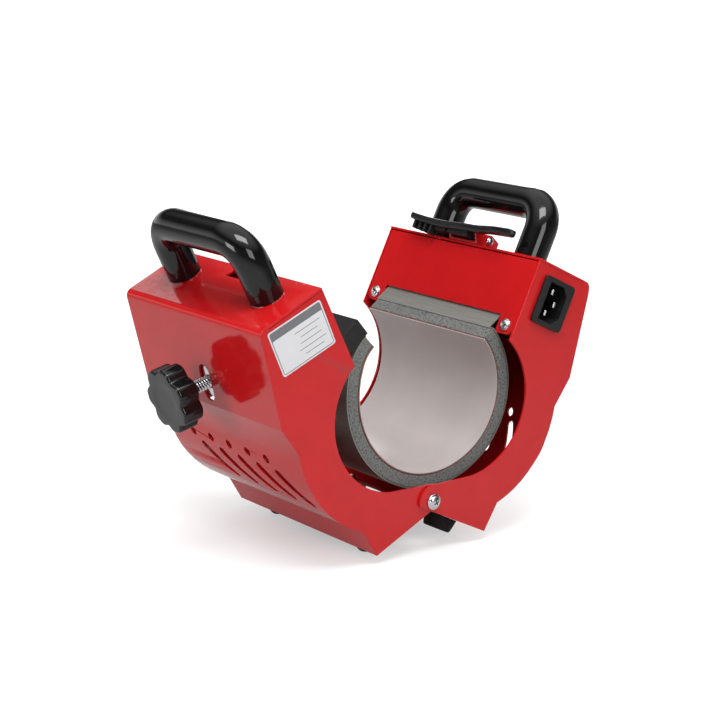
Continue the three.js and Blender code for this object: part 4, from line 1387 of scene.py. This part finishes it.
# Rating label
class PRESS_OT_label(bpy.types.Operator):
    """Stick the bare rating label on the left front plate"""

    bl_idname = "press.label"
    bl_label = "Rating Label"

    def execute(self, context):
        sizes = context.scene.press_sizes
        low, _ = span(LEFT, "left_shell")
        centre = Vector((0.03728, low.y, 0.14543))
        lean = math.radians(-2.3)
        width, height = sizes.label_width, sizes.label_height
        margin, line, band = 0.0009, 0.0005, 0.0052
        film = 0.00006
        white = [self.plate(width, height, 0, 0, 0.0016, 0, film)]
        inner_width, inner_height = width - 2 * margin, height - 2 * margin
        grey = [self.plate(inner_width, inner_height, 0, 0, 0.0014, film, film / 2)]
        field_height = inner_height - band - line
        field_drop = (line - band) / 2
        raised = film * 1.5
        white.append(self.plate(inner_width - 2 * line, field_height, 0, field_drop, 0.0008, raised, film / 2))
        rules = (0.019, 0.013, 0.016, 0.020, 0.014)
        pitch = field_height / (len(rules) + 1)
        for i, length in enumerate(rules):
            rise = field_drop + field_height / 2 - pitch * (i + 1)
            grey.append(self.plate(length, 0.0004, -0.006, rise, 0.00015, raised + film / 2, film / 4))
        for name, forms in (("label_white", white), ("label_grey", grey)):
            form = joined(forms)
            form.transform(Matrix.Translation(centre) @ Matrix.Rotation(lean, 4, "Y"))
            make_piece(f"rating_{name}", form, LEFT, name, "left_half")
        return {"FINISHED"}

    def plate(self, width, height, x, z, corner, start, film):
        """A thin film with round corners that lies on the front plate."""
        outline = []
        for turn in range(4):
            side_x, side_z = ((1, 1), (-1, 1), (-1, -1), (1, -1))[turn]
            for i in range(7):
                angle = math.pi / 2 * (turn + i / 6)
                reach_x = side_x * (width / 2 - corner) + corner * math.cos(angle)
                reach_z = side_z * (height / 2 - corner) + corner * math.sin(angle)
                outline.append((x + reach_x, z + reach_z))
        depths = (-start, -start - film)
        return lofted([[Vector((px, depth, pz)) for px, pz in outline] for depth in depths])


# Studio
class PRESS_OT_studio(bpy.types.Operator):
    """Set the white floor, the room light, the lamps and the camera"""

    bl_idname = "press.studio"
    bl_label = "Studio"

    def execute(self, context):
        scene = context.scene
        studio = scene.press_studio
        scene.view_settings.view_transform = "Standard"
        self.white_room(scene, studio)
        self.floor(scene, studio)
        self.lamp(scene, "key_lamp", (-0.3, -0.5, 1.35), (0.9, 0.5), studio.key_power)
        self.lamp(scene, "side_lamp", (-0.5, -1.9, 0.9), (0.9, 0.9), studio.side_power)
        self.lamp(scene, "left_lamp", (-1.9, 0.1, 0.35), (0.8, 0.5), studio.left_power)
        self.lamp(scene, "back_lamp", (1.3, 1.5, 0.7), (0.8, 0.8), studio.back_power)
        self.camera(scene, studio)
        return {"FINISHED"}

    def first_of(self, tree, *signals):
        """The strongest of several signals."""
        strongest = signals[0]
        for signal in signals[1:]:
            step = add_node(tree, "ShaderNodeMath", operation="MAXIMUM")
            tree.links.new(strongest, step.inputs[0])
            tree.links.new(signal, step.inputs[1])
            strongest = step.outputs[0]
        return strongest

    def blended(self, tree, share, under, over):
        mix = add_node(tree, "ShaderNodeMixShader")
        tree.links.new(share, mix.inputs["Fac"])
        tree.links.new(under, mix.inputs[1])
        tree.links.new(over, mix.inputs[2])
        return mix.outputs[0]

    def between(self, tree, value, found, given):
        """The value carried from one range to another."""
        limits = {"From Min": found[0], "From Max": found[1], "To Min": given[0], "To Max": given[1]}
        made = add_node(tree, "ShaderNodeMapRange", limits)
        tree.links.new(value, made.inputs["Value"])
        return made.outputs["Result"]

    def white_room(self, scene, studio):
        """Even light on the object, white behind it, and in gloss a white horizon under a dim ceiling."""
        room = bpy.data.worlds.new("white_room")
        scene.world = room
        room.use_nodes = True
        tree = room.node_tree
        even = tree.nodes["Background"]
        even.inputs["Color"].default_value = (1, 1, 1, 1)
        even.inputs["Strength"].default_value = studio.room_light
        white = add_node(tree, "ShaderNodeBackground", {"Color": (1, 1, 1, 1), "Strength": 1.0})
        where = add_node(tree, "ShaderNodeTexCoord")
        split = add_node(tree, "ShaderNodeSeparateXYZ")
        tree.links.new(where.outputs["Generated"], split.inputs[0])
        horizon = self.between(tree, split.outputs["Z"], (0.1, 0.36), (1, 0))
        backdrop = self.between(tree, split.outputs["Y"], (-0.4, 0.3), (0.1, 1))
        above = self.between(tree, split.outputs["Z"], (0.5, 0.85), (studio.ceiling, studio.overhead))
        wall = add_node(tree, "ShaderNodeMath", operation="MULTIPLY_ADD")
        for i, signal in enumerate((horizon, backdrop, above)):
            tree.links.new(signal, wall.inputs[i])
        walls = add_node(tree, "ShaderNodeBackground", {"Color": (1, 1, 1, 1)})
        tree.links.new(wall.outputs[0], walls.inputs["Strength"])
        rays = add_node(tree, "ShaderNodeLightPath")
        mirrored = self.first_of(tree, rays.outputs["Is Glossy Ray"], rays.outputs["Is Transmission Ray"])
        lit = self.blended(tree, mirrored, even.outputs[0], walls.outputs[0])
        seen = self.blended(tree, rays.outputs["Is Camera Ray"], lit, white.outputs[0])
        tree.links.new(seen, tree.nodes["World Output"].inputs["Surface"])

    def floor(self, scene, studio):
        """A wide white floor that keeps the object's shadow."""
        mesh = bpy.data.meshes.new("floor")
        reach = 12
        corners = [(-reach, -reach, 0), (reach, -reach, 0), (reach, reach, 0), (-reach, reach, 0)]
        mesh.from_pydata(corners, [], [(0, 1, 2, 3)])
        thing = bpy.data.objects.new("floor", mesh)
        scene.collection.objects.link(thing)
        grey = studio.floor_shade
        material, tree, shader = new_finish(
            "floor_white",
            Roughness=0.6,
            Specular_IOR_Level=0.0,
            Base_Color=(grey, grey, grey, 1),
            Emission_Color=(1, 1, 1, 1),
        )
        away = add_node(tree, "ShaderNodeVectorMath", operation="LENGTH")
        tree.links.new(object_point(tree), away.inputs[0])
        distance = away.outputs["Value"]
        near = self.between(tree, distance, (0.02, 0.16), (0.4, 0.84))
        far = self.between(tree, distance, (0.3, 1.4), (0, 0.2))
        whole = add_node(tree, "ShaderNodeMath", operation="ADD")
        tree.links.new(near, whole.inputs[0])
        tree.links.new(far, whole.inputs[1])
        faded = self.between(tree, distance, (0.35, 0.95), (0.45, 0))
        rays = add_node(tree, "ShaderNodeLightPath")
        mirrored = self.first_of(tree, rays.outputs["Is Glossy Ray"], rays.outputs["Is Transmission Ray"])
        dimmed = add_node(tree, "ShaderNodeMath", operation="MULTIPLY")
        tree.links.new(mirrored, dimmed.inputs[0])
        tree.links.new(faded, dimmed.inputs[1])
        shown = self.first_of(tree, rays.outputs["Is Camera Ray"], dimmed.outputs[0])
        lift = add_node(tree, "ShaderNodeMath", operation="MULTIPLY")
        tree.links.new(shown, lift.inputs[0])
        tree.links.new(whole.outputs[0], lift.inputs[1])
        tree.links.new(lift.outputs[0], shader.inputs["Emission Strength"])
        mesh.materials.append(material)

    def lamp(self, scene, name, place, size, power):
        data = bpy.data.lights.new(name, "AREA")
        data.shape = "RECTANGLE"
        data.size, data.size_y = size
        data.energy = power
        thing = bpy.data.objects.new(name, data)
        scene.collection.objects.link(thing)
        thing.location = place
        towards = Vector((0, 0, 0.1)) - Vector(place)
        thing.rotation_euler = towards.to_track_quat("-Z", "Y").to_euler()

    def camera(self, scene, studio):
        data = bpy.data.cameras.new("photo_camera")
        data.lens = studio.camera_lens
        data.sensor_width = 36
        thing = bpy.data.objects.new("photo_camera", data)
        scene.collection.objects.link(thing)
        a, e = studio.camera_azimuth, studio.camera_elevation
        back = Vector((math.sin(a) * math.cos(e), -math.cos(a) * math.cos(e), math.sin(e)))
        right = Vector((math.cos(a), math.sin(a), 0))
        turn = Matrix((right, back.cross(right), back)).transposed().to_4x4()
        roll = Matrix.Rotation(studio.camera_roll, 4, "Z")
        thing.matrix_world = Matrix.Translation(studio.camera_place) @ turn @ roll
        data.clip_start, data.clip_end = 0.05, 50
        scene.camera = thing


STEPS = (
    PRESS_OT_studio,
    PRESS_OT_shells,
    PRESS_OT_covers,
    PRESS_OT_screws,
    PRESS_OT_handles,
    PRESS_OT_feet,
    PRESS_OT_blanket,
    PRESS_OT_pressure_screw,
    PRESS_OT_inlet,
    PRESS_OT_control_panel,
    PRESS_OT_latch,
    PRESS_OT_label,
)


class PRESS_PT_looks(bpy.types.Panel):
    """Lists the steps that dress the press"""

    bl_label = "Mug Press"
    bl_idname = "PRESS_PT_looks"
    bl_space_type = "VIEW_3D"
    bl_region_type = "UI"
    bl_category = "Mug Press"

    def draw(self, context):
        for step in STEPS:
            self.layout.operator(step.bl_idname)
        for group in (context.scene.press_colours, context.scene.press_sizes, context.scene.press_studio):
            for name in group.__annotations__:
                self.layout.prop(group, name)


GROUPS = {"press_colours": PressColours, "press_sizes": PressSizes, "press_studio": PressStudio}


def register():
    for group in GROUPS.values():
        bpy.utils.register_class(group)
    for step in (*STEPS, PRESS_PT_looks):
        bpy.utils.register_class(step)
    for name, group in GROUPS.items():
        setattr(bpy.types.Scene, name, PointerProperty(type=group))


def unregister():
    for name in GROUPS:
        delattr(bpy.types.Scene, name)
    for step in reversed((*GROUPS.values(), *STEPS, PRESS_PT_looks)):
        bpy.utils.unregister_class(step)


def main():
    register()
    for step in STEPS:
        getattr(bpy.ops.press, step.bl_idname.split(".")[1])()


if __name__ == "__main__":
    main()
